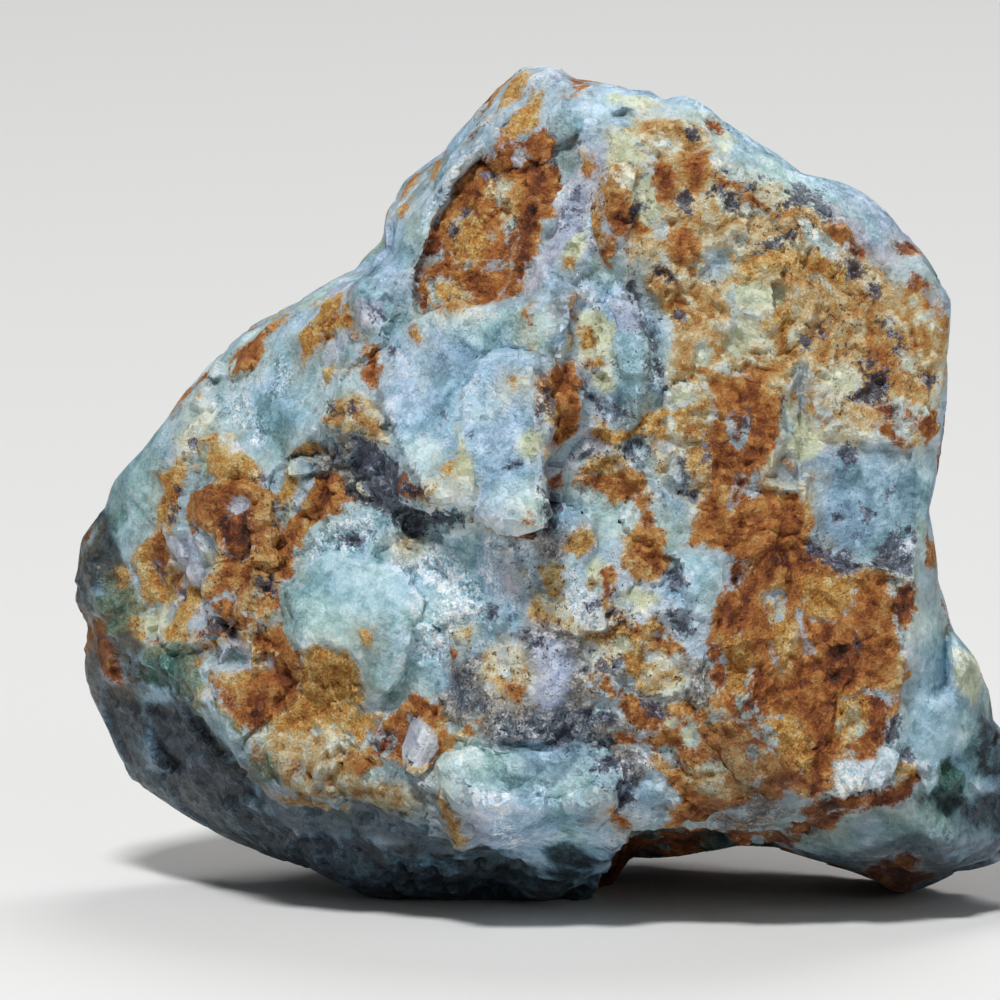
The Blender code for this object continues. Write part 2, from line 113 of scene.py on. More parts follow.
BACK_FACES = {
    "back": (620, 500, 15.5, -0.15, -0.1),
    "left back": (200, 600, 9.5, 0.6, 0.1),
    "top back": (560, 150, 8.0, 0.1, -0.9),
    "right back": (900, 450, 7.0, -0.9, 0.1),
    "lower back": (600, 800, 11.0, -0.1, 0.7),
    "upper left back": (330, 330, 9.5, 0.5, -0.7),
}
EDGE_SHARPNESS = 60.0
VALLEY_SHARPNESS = 40.0

# How the form is fitted to the outline: where the widest points are looked for, in steps round the line
# of sight and steps from front to back, how fast the widening fades inwards, and what share is drawn back
# of what still stands out
STEPS_ROUND = 1440
STEPS_BACK = 121
WIDENING_POWER = 4
SHARE_DRAWN_BACK = 0.85

# Terraces: corners, the pixel where the height holds, the height and how fast it grows across and up,
# all in millimetres, and the width of the step at the border in pixels
TERRACES = {
    "central block": (
        ((398, 330), (440, 318), (500, 310), (548, 312), (562, 340), (556, 370), (546, 400), (545, 440),
         (548, 480), (541, 520), (505, 524), (474, 508), (440, 500), (420, 480), (400, 440), (385, 400),
         (384, 360)),
        (545, 500), 1.6, 0.08, -0.12, 16),
    "recess beside the ridge": (
        ((548, 140), (600, 140), (612, 200), (625, 300), (642, 430), (600, 455), (575, 400), (566, 330),
         (562, 300), (548, 250)),
        (590, 240), -0.55, 0.0, -0.05, 40),
    "pale step": (
        ((676, 552), (700, 545), (722, 560), (727, 590), (716, 618), (690, 612), (678, 590)),
        (700, 580), 0.35, 0.0, 0.0, 14),
    "rusty panel": (
        ((712, 550), (770, 535), (812, 545), (900, 575), (905, 640), (898, 740), (880, 780), (815, 800),
         (760, 790), (715, 735), (706, 640)),
        (706, 650), 0.40, -0.02, 0.0, 12),
    "step under the right ledge": (
        ((739, 842), (806, 818), (873, 800), (920, 783), (1000, 790), (1080, 800), (1080, 930), (740, 930)),
        (850, 820), -1.1, 0.0, 0.0, 12),
    "lower front block": (
        ((455, 760), (520, 748), (600, 755), (612, 790), (610, 890), (450, 890), (440, 820)),
        (530, 800), 0.5, 0.0, 0.0, 16),
    "rusty column": (
        ((204, 451), (240, 445), (274, 470), (280, 540), (262, 600), (258, 640), (290, 650), (284, 700),
         (250, 745), (225, 720), (212, 650), (206, 560)),
        (240, 600), 0.5, 0.0, 0.0, 16),
    "rusty slab": (
        ((482, 157), (549, 169), (545, 207), (534, 241), (520, 270), (514, 297), (491, 306), (465, 304),
         (427, 318), (417, 280), (427, 251), (434, 228), (451, 192)),
        (485, 230), -0.25, 0.0, 0.0, 16),
}
# Domes: middle, half width and half height in pixels, clockwise turn in degrees, height in millimetres
DOMES = {
    "scoop in the block": (493, 348, 32, 20, -10, -0.8),
    "navy hollow": (361, 476, 54, 46, 30, -1.9),
    "trough": (432, 524, 44, 18, 15, -0.8),
    "green bump": (352, 622, 92, 80, 0, 1.5),
    "teal knob": (373, 308, 28, 36, 10, 1.1),
    "cream lump": (368, 431, 22, 15, -20, 0.8),
    "lilac lens": (424, 742, 20, 27, 10, 0.5),
    "pale window": (867, 502, 60, 58, 0, -0.35),
    "pit at the top": (614, 121, 15, 11, -20, -0.9),
    "first top lobe": (625, 103, 28, 17, 15, 0.5),
    "second top lobe": (690, 112, 26, 16, 30, 0.5),
    "right lobe": (962, 690, 42, 70, 15, 0.8),
    "olive tongue": (436, 800, 20, 30, 10, 0.4),
    "cavity": (236, 620, 22, 18, 0, -1.4),
    "pale pocket": (233, 660, 25, 16, 0, -0.8),
}
DOME_POWER = 1.5
# Ridges and grooves: the points of the line and its half width in pixels, and its height in mm
LINES = {
    "ridge": (((600, 140), (610, 200), (622, 300), (640, 420)), 12, 0.4),
    "pale band": (((484, 127), (440, 190), (369, 264)), 10, 0.5),
    "groove before the rear bump": (((470, 140), (430, 190), (380, 245)), 10, -0.6),
    "boundary of the right lobe": (((905, 480), (908, 600), (905, 700), (905, 780)), 14, -0.3),
    "crack over the bump": (((375, 568), (395, 545), (413, 526)), 4, -0.4),
    "lip of the left ledge": (
        ((100, 590), (140, 640), (200, 700), (245, 750), (290, 792), (350, 800), (395, 806)), 12, 0.5),
    "shell-shaped arc": (((735, 275), (780, 258), (820, 262), (845, 285)), 8, 0.2),
}
# How crooked the borders of all these are: size and amount in millimetres, and seed
RELIEF_CROOKEDNESS = ((2.2, 0.45, 3), (0.8, 0.16, 6))
# The widths in millimetres over which the relief and the facets fade towards the rim, and where the relief
# ends and holds in full, in millimetres before the depth of the outline
RELIEF_FADE = 1.2
FACET_FADE = 2.0
RELIEF_BEHIND = (-1.0, 0.0)

# Facets: size and height, size and amount of the crookedness of their edges, all in millimetres, the
# share of the height that is left at the rim, and seed. The large ones start so far behind the outline.
LARGE_FACETS = (9.0, 1.6, 7.0, 1.5, 0.0, 21)
MIDDLE_FACETS = (4.2, 0.75, 3.5, 0.9, 0.3, 24)
SMALL_FACETS = (1.9, 0.28, 1.5, 0.35, 0.5, 27)
LARGE_FACETS_BEHIND = 4.0
# The share of each terrace's border that its step takes on this finer mesh
BORDER_SHARE = 0.55
# Turns and shifts of the grids that the noises are read on: at rest and for each unit of the seed
FIRST_TURN = (0.7, 1.9)
SECOND_TURN = (1.1, 2.3)
FACETS_APART = 17.3
NOISE_APART = 11.9
FLAKES_APART = 13.7
# Crookedness draws with three seeds, so what it bends draws with the seed so many later. The tilt and the
# tone of a flake draw with seeds so many after the one of its place.
NEXT_SEED = 3
TILT_SEED = 7
TONE_SEED = 11
# The large odd numbers and the shifts that scatter the numbers of a cell over 32 bits
SCATTERING = (374761393, 668265263, 2246822519, 3266489917)
BIT_SHIFTS = (15, 13, 16)
ALL_BITS = 2 ** 32
# Keeps a division from meeting nothing
TINY = 1e-6

# Outlines that the colours and the relief share: across and down of each corner in turn, in pixels
SLAB = (482, 157, 501, 165, 534, 170, 552, 166, 556, 184, 545, 209, 543, 234, 534, 255, 523, 274, 516, 293,
    503, 301, 492, 307, 465, 313, 446, 315, 425, 321, 416, 306, 415, 280, 419, 266, 427, 252, 434, 236,
    436, 220, 447, 202, 454, 184, 465, 172)
WINDOW = (785, 399, 800, 372, 808, 392, 812, 424, 823, 434, 846, 437, 863, 447, 890, 444, 913, 452,
    922, 466, 920, 506, 914, 534, 889, 528, 883, 548, 868, 560, 852, 557, 844, 547, 823, 548, 808, 533,
    806, 508, 803, 486, 790, 486, 777, 485, 766, 477, 774, 462, 783, 444)
WHITE_KNOB = (832, 763, 846, 755, 860, 764, 862, 779, 851, 789, 840, 797, 831, 792, 829, 779)
GREY_LENS = (174, 526, 188, 525, 205, 535, 208, 557, 207, 584, 193, 588, 185, 566, 178, 544)
LILAC_LENS = (412, 720, 426, 717, 438, 730, 443, 748, 437, 762, 424, 768, 410, 762, 406, 744)

# What shows where on the best face: the kind, and the across and down of each corner in pixels. Each patch
# lies over the ones before it.
PATCHES = (
    # The upper right half: a mixed crust of tan, cream and rust over the opal
    ("sand", 604, 138, 640, 118, 674, 117, 698, 124, 708, 150, 738, 168, 775, 190, 806, 214, 830, 246,
     862, 262, 886, 284, 930, 300, 944, 330, 940, 420, 912, 447, 872, 440, 846, 450, 806, 480, 800, 540,
     700, 540, 690, 500, 655, 470, 642, 420, 652, 380, 640, 330, 634, 280, 628, 240, 616, 190),
    ("opal", 636, 250, 655, 300, 672, 340, 668, 372, 676, 400, 655, 420, 640, 410, 630, 380, 634, 330,
     628, 290),
    ("lime", 602, 136, 640, 122, 652, 150, 642, 170, 612, 172),
    ("lime", 600, 150, 622, 160, 640, 200, 652, 196, 668, 212, 650, 230, 634, 215, 612, 186),
    ("sand", 643, 122, 674, 117, 696, 124, 705, 133, 690, 148, 672, 168, 650, 160, 637, 150),
    ("rust", 643, 168, 656, 162, 668, 170, 677, 186, 674, 206, 662, 203, 653, 186),
    ("rust", 680, 171, 700, 146, 712, 150, 709, 184, 698, 197, 684, 190),
    ("ochre", 689, 122, 702, 126, 705, 133, 690, 134),
    ("rust", 705, 168, 730, 178, 760, 205, 782, 214, 770, 222, 736, 205, 712, 192),
    ("rust", 672, 226, 690, 222, 701, 240, 699, 262, 684, 270, 668, 258, 664, 240),
    ("lime", 648, 178, 664, 206, 640, 205, 632, 190),
    ("frost", 654, 222, 668, 222, 671, 232, 662, 238, 653, 232),
    ("opal", 703, 247, 725, 244, 733, 262, 720, 279, 698, 276, 702, 262),
    ("frost", 728, 232, 742, 236, 744, 243, 732, 242),
    ("ochre", 732, 276, 748, 258, 775, 247, 805, 252, 828, 266, 846, 288, 836, 292, 812, 276, 785, 268,
     760, 268, 742, 284),
    ("lime", 734, 283, 756, 277, 774, 287, 792, 297, 780, 312, 756, 319, 738, 314, 731, 299),
    ("lime", 738, 318, 755, 319, 757, 337, 738, 358, 728, 350, 733, 332),
    ("ochre", 760, 322, 788, 308, 796, 318, 782, 332, 768, 340, 758, 334),
    ("umber", 772, 330, 782, 332, 783, 352, 775, 356, 770, 344),
    ("rust", 742, 366, 758, 366, 766, 380, 756, 392, 744, 386),
    ("lime", 697, 346, 706, 345, 713, 358, 708, 372, 699, 368, 695, 356),
    ("frost", 796, 369, 802, 364, 809, 370, 812, 398, 808, 416, 797, 410, 793, 390),
    ("lime", 820, 364, 848, 362, 860, 378, 850, 396, 826, 396, 816, 382),
    ("sand", 884, 300, 918, 304, 930, 330, 920, 352, 896, 350, 880, 330),
    ("lime", 896, 362, 910, 364, 910, 376, 896, 376),
    ("rust", 880, 282, 912, 277, 940, 300, 948, 330, 940, 345, 928, 322, 905, 300),
    ("umber", 892, 280, 912, 276, 926, 287, 901, 292),
    ("lilac", 912, 290, 930, 296, 942, 318, 930, 316),
    # The smooth pale rim along the top right
    ("glassy", 598, 84, 625, 86, 650, 92, 664, 103, 684, 95, 702, 101, 722, 120, 760, 146, 800, 174,
     842, 184, 862, 194, 902, 226, 924, 254, 944, 282, 946, 292, 930, 290, 896, 276, 876, 268, 862, 244,
     846, 226, 822, 218, 806, 204, 780, 198, 752, 184, 726, 166, 708, 146, 698, 124, 674, 116, 642, 118,
     612, 134, 598, 120),
    ("glassy", 715, 130, 745, 150, 790, 178, 780, 192, 748, 176, 722, 158),
    ("lilac", 826, 214, 850, 222, 870, 240, 886, 262, 890, 276, 868, 272, 852, 246, 834, 230),
    ("frost", 794, 215, 806, 219, 826, 248, 836, 264, 826, 264, 812, 250, 800, 236, 792, 224),
    ("rust", 823, 228, 841, 225, 852, 240, 864, 254, 848, 262, 836, 252, 826, 242),
    ("umber", 842, 244, 852, 244, 860, 254, 846, 258),
    ("umber", 893, 248, 905, 246, 911, 256, 906, 264, 894, 260),
    ("dark", 785, 184, 796, 181, 803, 193, 821, 204, 828, 222, 819, 226, 807, 208, 790, 207, 773, 204,
     785, 197),
    ("lime", 612, 96, 640, 96, 660, 104, 650, 114, 624, 108, 606, 112),
    ("umber", 698, 118, 714, 122, 718, 127, 700, 124),
    # The middle of the top: pale opal, a grey-lilac zone and thin rusty wedges
    ("opal", 484, 80, 513, 68, 560, 68, 590, 82, 600, 100, 596, 140, 560, 150, 552, 220, 540, 260, 524, 300,
     500, 312, 480, 330, 420, 340, 392, 330, 380, 270, 400, 250, 430, 200, 470, 140),
    ("teal", 560, 128, 574, 120, 584, 140, 578, 176, 566, 190, 556, 168),
    ("frost", 520, 72, 556, 70, 566, 78, 548, 84, 522, 84),
    ("lilac", 512, 74, 560, 74, 560, 80, 512, 80),
    ("lilac", 574, 146, 598, 146, 606, 184, 600, 224, 592, 250, 572, 262, 548, 270, 540, 290, 520, 305,
     522, 280, 544, 250, 552, 214, 560, 186, 570, 170),
    ("frost", 551, 186, 562, 186, 566, 204, 556, 214, 546, 204),
    ("frost", 590, 196, 598, 206, 590, 236, 578, 250, 570, 246, 582, 226),
    ("teal", 590, 240, 612, 236, 634, 262, 632, 300, 604, 302, 586, 286),
    ("rust", 578, 152, 586, 158, 588, 172, 582, 182, 577, 170),
    ("rust", 612, 170, 620, 190, 631, 203, 633, 222, 625, 242, 616, 233, 608, 218, 606, 195),
    ("ochre", 600, 184, 606, 188, 605, 218, 604, 240, 597, 237, 592, 213),
    ("rust", 614, 232, 619, 241, 613, 257, 606, 263, 602, 253, 608, 239),
    ("lilac", 627, 232, 634, 226, 634, 252, 626, 262),
    ("lime", 580, 234, 582, 246, 572, 268, 560, 276, 557, 264, 566, 246),
    ("ochre", 562, 266, 570, 262, 570, 274, 562, 277),
    ("rust", 543, 311, 566, 299, 584, 316, 574, 323, 559, 316),
    ("ochre", 533, 92, 541, 88, 542, 98, 535, 128, 526, 141, 512, 143, 501, 133, 512, 112, 524, 104),
    ("rust", *SLAB),
    ("umber", 503, 138, 518, 145, 534, 139, 549, 136, 552, 157, 552, 170, 534, 181, 509, 178, 499, 170,
     496, 153),
    ("umber", 524, 200, 540, 204, 538, 234, 530, 256, 518, 276, 512, 296, 500, 296, 508, 262, 518, 238),
    ("sand", 498, 184, 516, 184, 524, 204, 514, 232, 502, 222, 494, 202),
    ("lilac", 511, 154, 524, 153, 529, 162, 524, 172, 514, 172, 509, 163),
    ("ochre", 452, 232, 476, 212, 494, 236, 482, 262, 460, 270),
    ("ochre", 430, 284, 462, 280, 474, 300, 440, 308),
    ("frost", 495, 186, 501, 186, 505, 200, 502, 217, 497, 214, 494, 200),
    ("frost", 512, 217, 516, 219, 509, 238, 504, 240, 505, 230),
    ("umber", 426, 248, 440, 246, 443, 258, 430, 264, 422, 258),
    # The rear bump and the pale band beside the slab
    ("teal", 384, 206, 404, 178, 430, 160, 462, 136, 470, 150, 440, 196, 400, 234, 386, 240),
    ("rust", 398, 186, 412, 176, 430, 172, 434, 180, 416, 190, 410, 214, 404, 234, 394, 230, 402, 206),
    ("glassy", 484, 100, 500, 112, 486, 146, 458, 176, 440, 204, 424, 240, 412, 268, 392, 262, 370, 264,
     396, 240, 436, 190, 466, 136),
    ("frost", 478, 128, 486, 132, 474, 158, 452, 180, 438, 204, 426, 226, 416, 232, 436, 196, 462, 156),
    ("rust", 480, 100, 488, 94, 490, 104, 482, 112),
    # The central pale block
    ("opal", 394, 330, 430, 318, 480, 310, 520, 306, 552, 312, 566, 330, 560, 360, 548, 400, 546, 440,
     550, 480, 542, 524, 505, 526, 474, 510, 440, 500, 420, 480, 398, 440, 382, 400, 380, 360),
    ("pale", 434, 322, 480, 314, 520, 310, 548, 316, 556, 334, 540, 350, 513, 350, 486, 360, 466, 344),
    ("teal", 490, 336, 508, 324, 524, 328, 524, 342, 508, 350, 486, 358),
    ("teal", 440, 362, 456, 362, 460, 380, 450, 394, 438, 386),
    ("teal", 534, 338, 548, 338, 548, 352, 536, 356),
    ("pale", 422, 366, 434, 360, 440, 374, 438, 392, 428, 400, 420, 386),
    ("pale", 478, 408, 500, 398, 514, 402, 508, 418, 490, 428, 476, 424),
    ("pale", 494, 484, 520, 478, 536, 492, 542, 508, 530, 520, 508, 514, 494, 500),
    ("pale", 404, 440, 430, 436, 448, 444, 440, 462, 414, 462),
    ("lime", 455, 424, 463, 424, 465, 450, 470, 490, 462, 496, 455, 460),
    ("lime", 518, 436, 536, 434, 540, 452, 526, 458, 516, 450),
    ("ochre", 449, 459, 455, 458, 454, 472, 446, 477, 441, 473, 444, 464),
    ("sand", 458, 476, 472, 482, 474, 498, 464, 498, 456, 488),
    ("rust", 352, 323, 360, 318, 366, 330, 360, 342, 352, 338),
    ("rust", 418, 330, 426, 330, 427, 340, 420, 341, 416, 336),
    ("sand", 514, 388, 528, 386, 534, 394, 526, 396, 515, 395),
    ("umber", 398, 478, 410, 476, 420, 484, 414, 494, 402, 494),
    ("sand", 420, 486, 438, 482, 444, 492, 436, 502, 424, 500),
    # Between the block and the mixed crust
    ("opal", 566, 300, 640, 280, 650, 330, 652, 380, 640, 420, 650, 470, 690, 520, 676, 560, 640, 600,
     600, 620, 550, 600, 545, 520, 552, 470, 570, 440, 580, 400, 570, 350),
    ("lime", 576, 318, 596, 312, 610, 330, 604, 352, 616, 372, 612, 396, 596, 404, 584, 380, 574, 350),
    ("ochre", 575, 334, 586, 334, 588, 346, 580, 350, 573, 344),
    ("ochre", 580, 364, 596, 360, 602, 372, 592, 378, 580, 374),
    ("lilac", 606, 300, 628, 296, 640, 316, 626, 330, 608, 322),
    ("teal", 612, 330, 650, 330, 655, 400, 640, 440, 612, 420, 604, 380),
    ("frost", 644, 366, 654, 364, 660, 380, 656, 394, 646, 390),
    ("rust", 545, 357, 557, 356, 568, 362, 577, 384, 580, 407, 572, 432, 562, 450, 551, 464, 545, 461,
     548, 434, 544, 415, 538, 399, 536, 386, 548, 382, 548, 370),
    ("ochre", 551, 430, 562, 434, 560, 448, 551, 463, 546, 460, 548, 440),
    ("lilac", 580, 430, 600, 428, 612, 440, 598, 452, 580, 448),
    ("ochre", 590, 418, 612, 432, 637, 426, 648, 418, 644, 438, 618, 440, 596, 435),
    ("ochre", 578, 474, 590, 460, 618, 451, 630, 456, 626, 470, 600, 474),
    ("rust", 574, 482, 600, 472, 626, 462, 643, 472, 645, 491, 627, 496, 612, 508, 597, 492, 572, 490),
    ("rust", 548, 474, 560, 476, 562, 490, 550, 494, 546, 486),
    ("opal", 556, 494, 590, 496, 594, 508, 572, 514, 554, 508),
    ("rust", 628, 496, 646, 486, 656, 500, 650, 530, 640, 536, 632, 520),
    ("glassy", 651, 500, 683, 500, 692, 515, 676, 542, 674, 556, 658, 548, 652, 529),
    ("rust", 618, 533, 633, 527, 654, 524, 658, 546, 668, 562, 660, 581, 647, 589, 632, 574, 616, 556),
    ("ochre", 570, 548, 582, 532, 594, 540, 592, 556, 578, 560),
    ("glassy", 590, 520, 612, 518, 620, 530, 612, 556, 596, 552),
    ("lime", 590, 556, 602, 554, 606, 572, 600, 592, 588, 596, 584, 580),
    ("lime", 622, 588, 650, 590, 660, 604, 640, 616, 620, 606),
    ("frost", 566, 566, 584, 572, 590, 600, 580, 610, 566, 590),
    ("frost", 612, 640, 634, 632, 650, 640, 646, 662, 626, 668, 612, 656),
    ("frost", 654, 636, 672, 640, 690, 656, 676, 668, 656, 660),
    ("dark", 665, 566, 677, 566, 690, 584, 694, 600, 685, 608, 673, 594, 661, 586),
    ("glassy", 674, 551, 689, 544, 707, 552, 727, 560, 728, 586, 717, 604, 707, 619, 689, 612, 680, 596,
     690, 580, 676, 566),
    ("ochre", 538, 572, 553, 563, 564, 567, 566, 594, 573, 606, 585, 617, 569, 613, 550, 602, 542, 586),
    ("rust", 512, 574, 522, 569, 530, 573, 526, 584, 516, 586),
    ("lime", 566, 604, 588, 616, 590, 640, 570, 632, 556, 616),
    ("gravel", 520, 536, 550, 530, 572, 540, 570, 556, 546, 564, 524, 560),
    # Ochre webs and darker streaks across the mixed crust
    ("ochre", 656, 410, 676, 408, 700, 398, 706, 408, 680, 420, 662, 426, 652, 442, 646, 430),
    ("lime", 672, 386, 684, 380, 692, 388, 686, 404, 670, 412, 664, 404),
    ("lilac", 656, 440, 676, 436, 682, 450, 666, 456, 656, 450),
    ("opal", 664, 470, 680, 462, 686, 480, 680, 494, 664, 490),
    ("ochre", 684, 456, 692, 454, 694, 474, 690, 484, 685, 476),
    ("lilac", 668, 450, 676, 448, 676, 470, 668, 472),
    # The rusty column and the big rusty panel
    ("rust", 700, 360, 726, 366, 756, 378, 786, 400, 782, 424, 777, 448, 766, 456, 762, 475, 770, 489,
     791, 488, 803, 502, 810, 520, 802, 540, 824, 552, 847, 562, 868, 564, 897, 576, 909, 591, 906, 607,
     899, 618, 898, 658, 891, 684, 892, 706, 887, 726, 882, 743, 864, 757, 850, 762, 836, 780, 815, 797,
     788, 786, 774, 757, 762, 743, 738, 722, 716, 710, 709, 688, 709, 656, 712, 622, 716, 600, 726, 580,
     728, 558, 700, 542, 674, 545, 684, 520, 705, 488, 704, 462, 706, 428, 710, 395),
    ("ochre", 800, 574, 826, 566, 856, 572, 852, 600, 830, 614, 804, 606),
    ("ochre", 720, 640, 738, 630, 750, 660, 744, 700, 728, 690),
    ("ochre", 756, 720, 790, 714, 812, 740, 806, 770, 780, 756),
    ("ochre", 840, 700, 876, 690, 886, 706, 870, 732, 842, 734),
    ("umber", 726, 556, 740, 560, 738, 584, 728, 590),
    ("umber", 806, 554, 824, 556, 846, 566, 836, 574, 812, 566),
    ("umber", 888, 576, 908, 590, 904, 612, 898, 640, 890, 620, 892, 596),
    ("umber", 728, 474, 736, 472, 738, 500, 730, 506),
    ("umber", 734, 698, 748, 696, 752, 712, 740, 718),
    ("ochre", 760, 596, 782, 590, 790, 640, 782, 676, 770, 660, 764, 620),
    ("sand", 846, 712, 872, 708, 874, 722, 852, 728),
    ("umber", 724, 416, 736, 408, 744, 424, 738, 446, 726, 438),
    ("frost", 745, 478, 754, 468, 758, 478, 755, 494, 748, 498, 742, 490),
    ("lime", 772, 600, 779, 600, 779, 618, 774, 622, 771, 612),
    ("lilac", 794, 606, 801, 606, 803, 632, 806, 652, 800, 656, 797, 634),
    # The pale window with its dark rim
    ("blue", *WINDOW),
    ("lime", 786, 404, 806, 396, 810, 424, 824, 436, 812, 452, 796, 462, 780, 452, 786, 430),
    ("sand", 808, 424, 830, 410, 862, 404, 870, 408, 858, 424, 838, 432, 822, 436),
    ("ochre", 796, 394, 800, 394, 803, 412, 799, 416),
    ("rust", 776, 458, 790, 460, 794, 468, 784, 470),
    ("ochre", 800, 478, 808, 470, 812, 474, 804, 484),
    ("rust", 872, 428, 890, 412, 901, 430, 910, 446, 899, 453, 880, 442),
    ("umber", 874, 404, 892, 400, 912, 412, 908, 424, 888, 418),
    ("ochre", 806, 388, 816, 386, 818, 410, 840, 420, 820, 428, 806, 412),
    ("dark", 842, 400, 856, 388, 876, 374, 886, 376, 884, 398, 866, 404),
    ("umber", 906, 424, 940, 414, 932, 440, 922, 448, 912, 436),
    ("lilac", 895, 414, 900, 412, 905, 430, 902, 434),
    ("dark", 828, 450, 852, 439, 860, 450, 855, 468, 844, 467, 838, 456),
    ("dark", 801, 546, 810, 533, 823, 547, 846, 547, 853, 558, 871, 560, 878, 546, 888, 529, 912, 531,
     909, 564, 906, 580, 888, 572, 868, 566, 841, 570, 823, 556, 806, 554),
    ("lilac", 898, 540, 906, 540, 908, 552, 900, 556),
    # The pale strip and the green translucent lobe at the right, with painted shade on the lobe's lower right
    ("glassy", 912, 446, 926, 446, 944, 440, 942, 470, 932, 520, 934, 560, 944, 610, 952, 636, 950, 660,
     948, 690, 952, 716, 962, 730, 958, 746, 940, 762, 918, 768, 912, 756, 896, 744, 898, 725, 891, 707,
     893, 680, 898, 658, 900, 613, 910, 590, 914, 540),
    ("teal", 936, 622, 956, 634, 976, 652, 992, 690, 984, 720, 960, 728, 950, 708, 946, 685, 950, 655),
    ("lime", 948, 640, 966, 652, 977, 672, 974, 692, 962, 700, 952, 680),
    ("teal", 958, 725, 976, 722, 1000, 740, 1030, 800, 990, 826, 962, 818, 929, 816, 907, 810, 918, 785,
     936, 774, 956, 752),
    ("slate", 976, 676, 992, 686, 1010, 740, 1050, 790, 1050, 840, 1000, 830, 984, 796, 974, 740),
    ("slate", 908, 800, 940, 796, 980, 806, 1000, 826, 960, 832, 920, 822),
    ("moss", 930, 770, 950, 756, 966, 772, 960, 796, 938, 798),
    ("frost", 984, 692, 996, 700, 1000, 716, 988, 714),
    ("rust", 922, 536, 932, 532, 936, 560, 930, 574, 922, 562),
    ("umber", 930, 600, 942, 604, 950, 628, 940, 626),
    # Below the panel
    ("frost", *WHITE_KNOB),
    ("ochre", 890, 766, 904, 762, 914, 772, 908, 784, 892, 782),
    ("dark", 887, 712, 895, 708, 898, 736, 890, 746, 880, 738, 884, 726),
    ("dark", 901, 745, 914, 746, 915, 762, 902, 762),
    ("gravel", 584, 664, 640, 662, 700, 652, 712, 668, 712, 704, 738, 722, 720, 740, 690, 740, 650, 752,
     610, 744, 584, 720, 576, 690),
    ("ochre", 500, 590, 530, 580, 548, 600, 562, 640, 545, 652, 530, 625, 508, 615),
    ("sand", 545, 600, 590, 612, 612, 640, 600, 668, 576, 650, 560, 640),
    ("ochre", 600, 600, 625, 610, 640, 640, 652, 680, 636, 690, 622, 660, 606, 636),
    ("rust", 560, 668, 600, 668, 640, 692, 690, 700, 716, 716, 700, 740, 650, 730, 600, 696),
    ("rust", 604, 728, 650, 736, 700, 722, 740, 722, 790, 770, 780, 802, 700, 802, 670, 770, 620, 756),
    ("frost", 628, 744, 650, 746, 656, 764, 636, 768),
    ("rust", 650, 748, 690, 742, 716, 756, 746, 772, 770, 770, 786, 790, 776, 806, 740, 812, 720, 838,
     700, 850, 676, 842, 668, 812, 676, 796, 664, 780, 648, 768),
    ("umber", 706, 650, 720, 640, 724, 664, 720, 690, 712, 694),
    ("umber", 866, 690, 889, 690, 884, 742, 860, 756, 846, 744, 868, 726),
    ("dark", 540, 732, 600, 728, 612, 744, 580, 752, 548, 750),
    ("dark", 588, 650, 612, 646, 622, 662, 604, 672, 590, 666),
    ("dark", 640, 690, 668, 700, 672, 716, 648, 712),
    ("rust", 622, 618, 650, 632, 684, 640, 690, 656, 652, 650, 626, 636),
    ("dark", 664, 604, 688, 612, 692, 640, 676, 636, 664, 620),
    ("umber", 600, 566, 614, 570, 612, 598, 600, 596),
    ("lime", 600, 640, 622, 634, 630, 648, 612, 656),
    ("sand", 640, 660, 668, 654, 690, 672, 676, 690, 650, 684),
    ("sand", 683, 772, 701, 761, 724, 763, 748, 774, 746, 787, 717, 792, 693, 790),
    ("frost", 717, 824, 726, 801, 744, 798, 757, 791, 776, 798, 762, 814, 744, 823, 726, 828),
    ("gravel", 750, 790, 776, 792, 790, 806, 770, 820, 752, 824, 744, 808),
    ("umber", 737, 843, 775, 823, 793, 808, 815, 801, 844, 791, 880, 787, 913, 773, 919, 779, 903, 797,
     862, 809, 833, 818, 806, 824, 784, 838, 757, 846),
    ("teal", 793, 832, 811, 824, 833, 819, 864, 810, 896, 804, 940, 806, 992, 824, 1004, 836, 960, 838,
     913, 828, 884, 830, 851, 838, 829, 842, 806, 842),
    ("lilac", 852, 820, 866, 814, 878, 818, 872, 828, 856, 830),
    ("shade", 784, 848, 830, 843, 884, 833, 915, 830, 960, 840, 1050, 838, 1060, 930, 780, 930),
    ("umber", 862, 868, 900, 862, 948, 868, 930, 884, 905, 892, 880, 886),
    # The lower middle: grey gravel, a small rosy ring and the pale front block
    ("gravel", 500, 632, 524, 622, 551, 622, 580, 635, 590, 654, 600, 690, 600, 740, 560, 752, 520, 756,
     490, 740, 480, 724, 478, 696, 488, 660),
    ("lilac", 530, 648, 556, 644, 572, 664, 566, 700, 540, 712, 526, 690),
    ("sand", 489, 652, 506, 644, 524, 650, 530, 672, 526, 690, 512, 700, 498, 692, 486, 676),
    ("lilac", 496, 652, 506, 648, 516, 656, 512, 667, 500, 667),
    ("frost", 502, 668, 514, 666, 520, 676, 512, 684, 503, 680),
    ("rust", 506, 690, 520, 684, 527, 688, 520, 700, 510, 700),
    ("rust", 446, 646, 456, 646, 458, 656, 450, 660),
    ("sand", 452, 624, 462, 622, 470, 632, 464, 642, 453, 638),
    ("gravel", 446, 660, 484, 656, 484, 690, 480, 720, 452, 720, 436, 700, 440, 676),
    ("opal", 448, 764, 470, 750, 500, 744, 540, 752, 584, 750, 612, 768, 622, 790, 606, 806, 600, 820,
     613, 834, 628, 852, 625, 863, 616, 872, 548, 873, 520, 842, 480, 838, 458, 832),
    ("teal", 552, 784, 590, 776, 608, 790, 600, 812, 580, 830, 556, 824),
    ("teal", 470, 764, 510, 756, 540, 764, 548, 778, 500, 790, 474, 786),
    ("lilac", 474, 800, 490, 796, 494, 822, 486, 836, 470, 826),
    ("frost", 496, 806, 506, 800, 520, 814, 520, 832, 504, 838),
    ("frost", 530, 780, 546, 778, 548, 794, 534, 800),
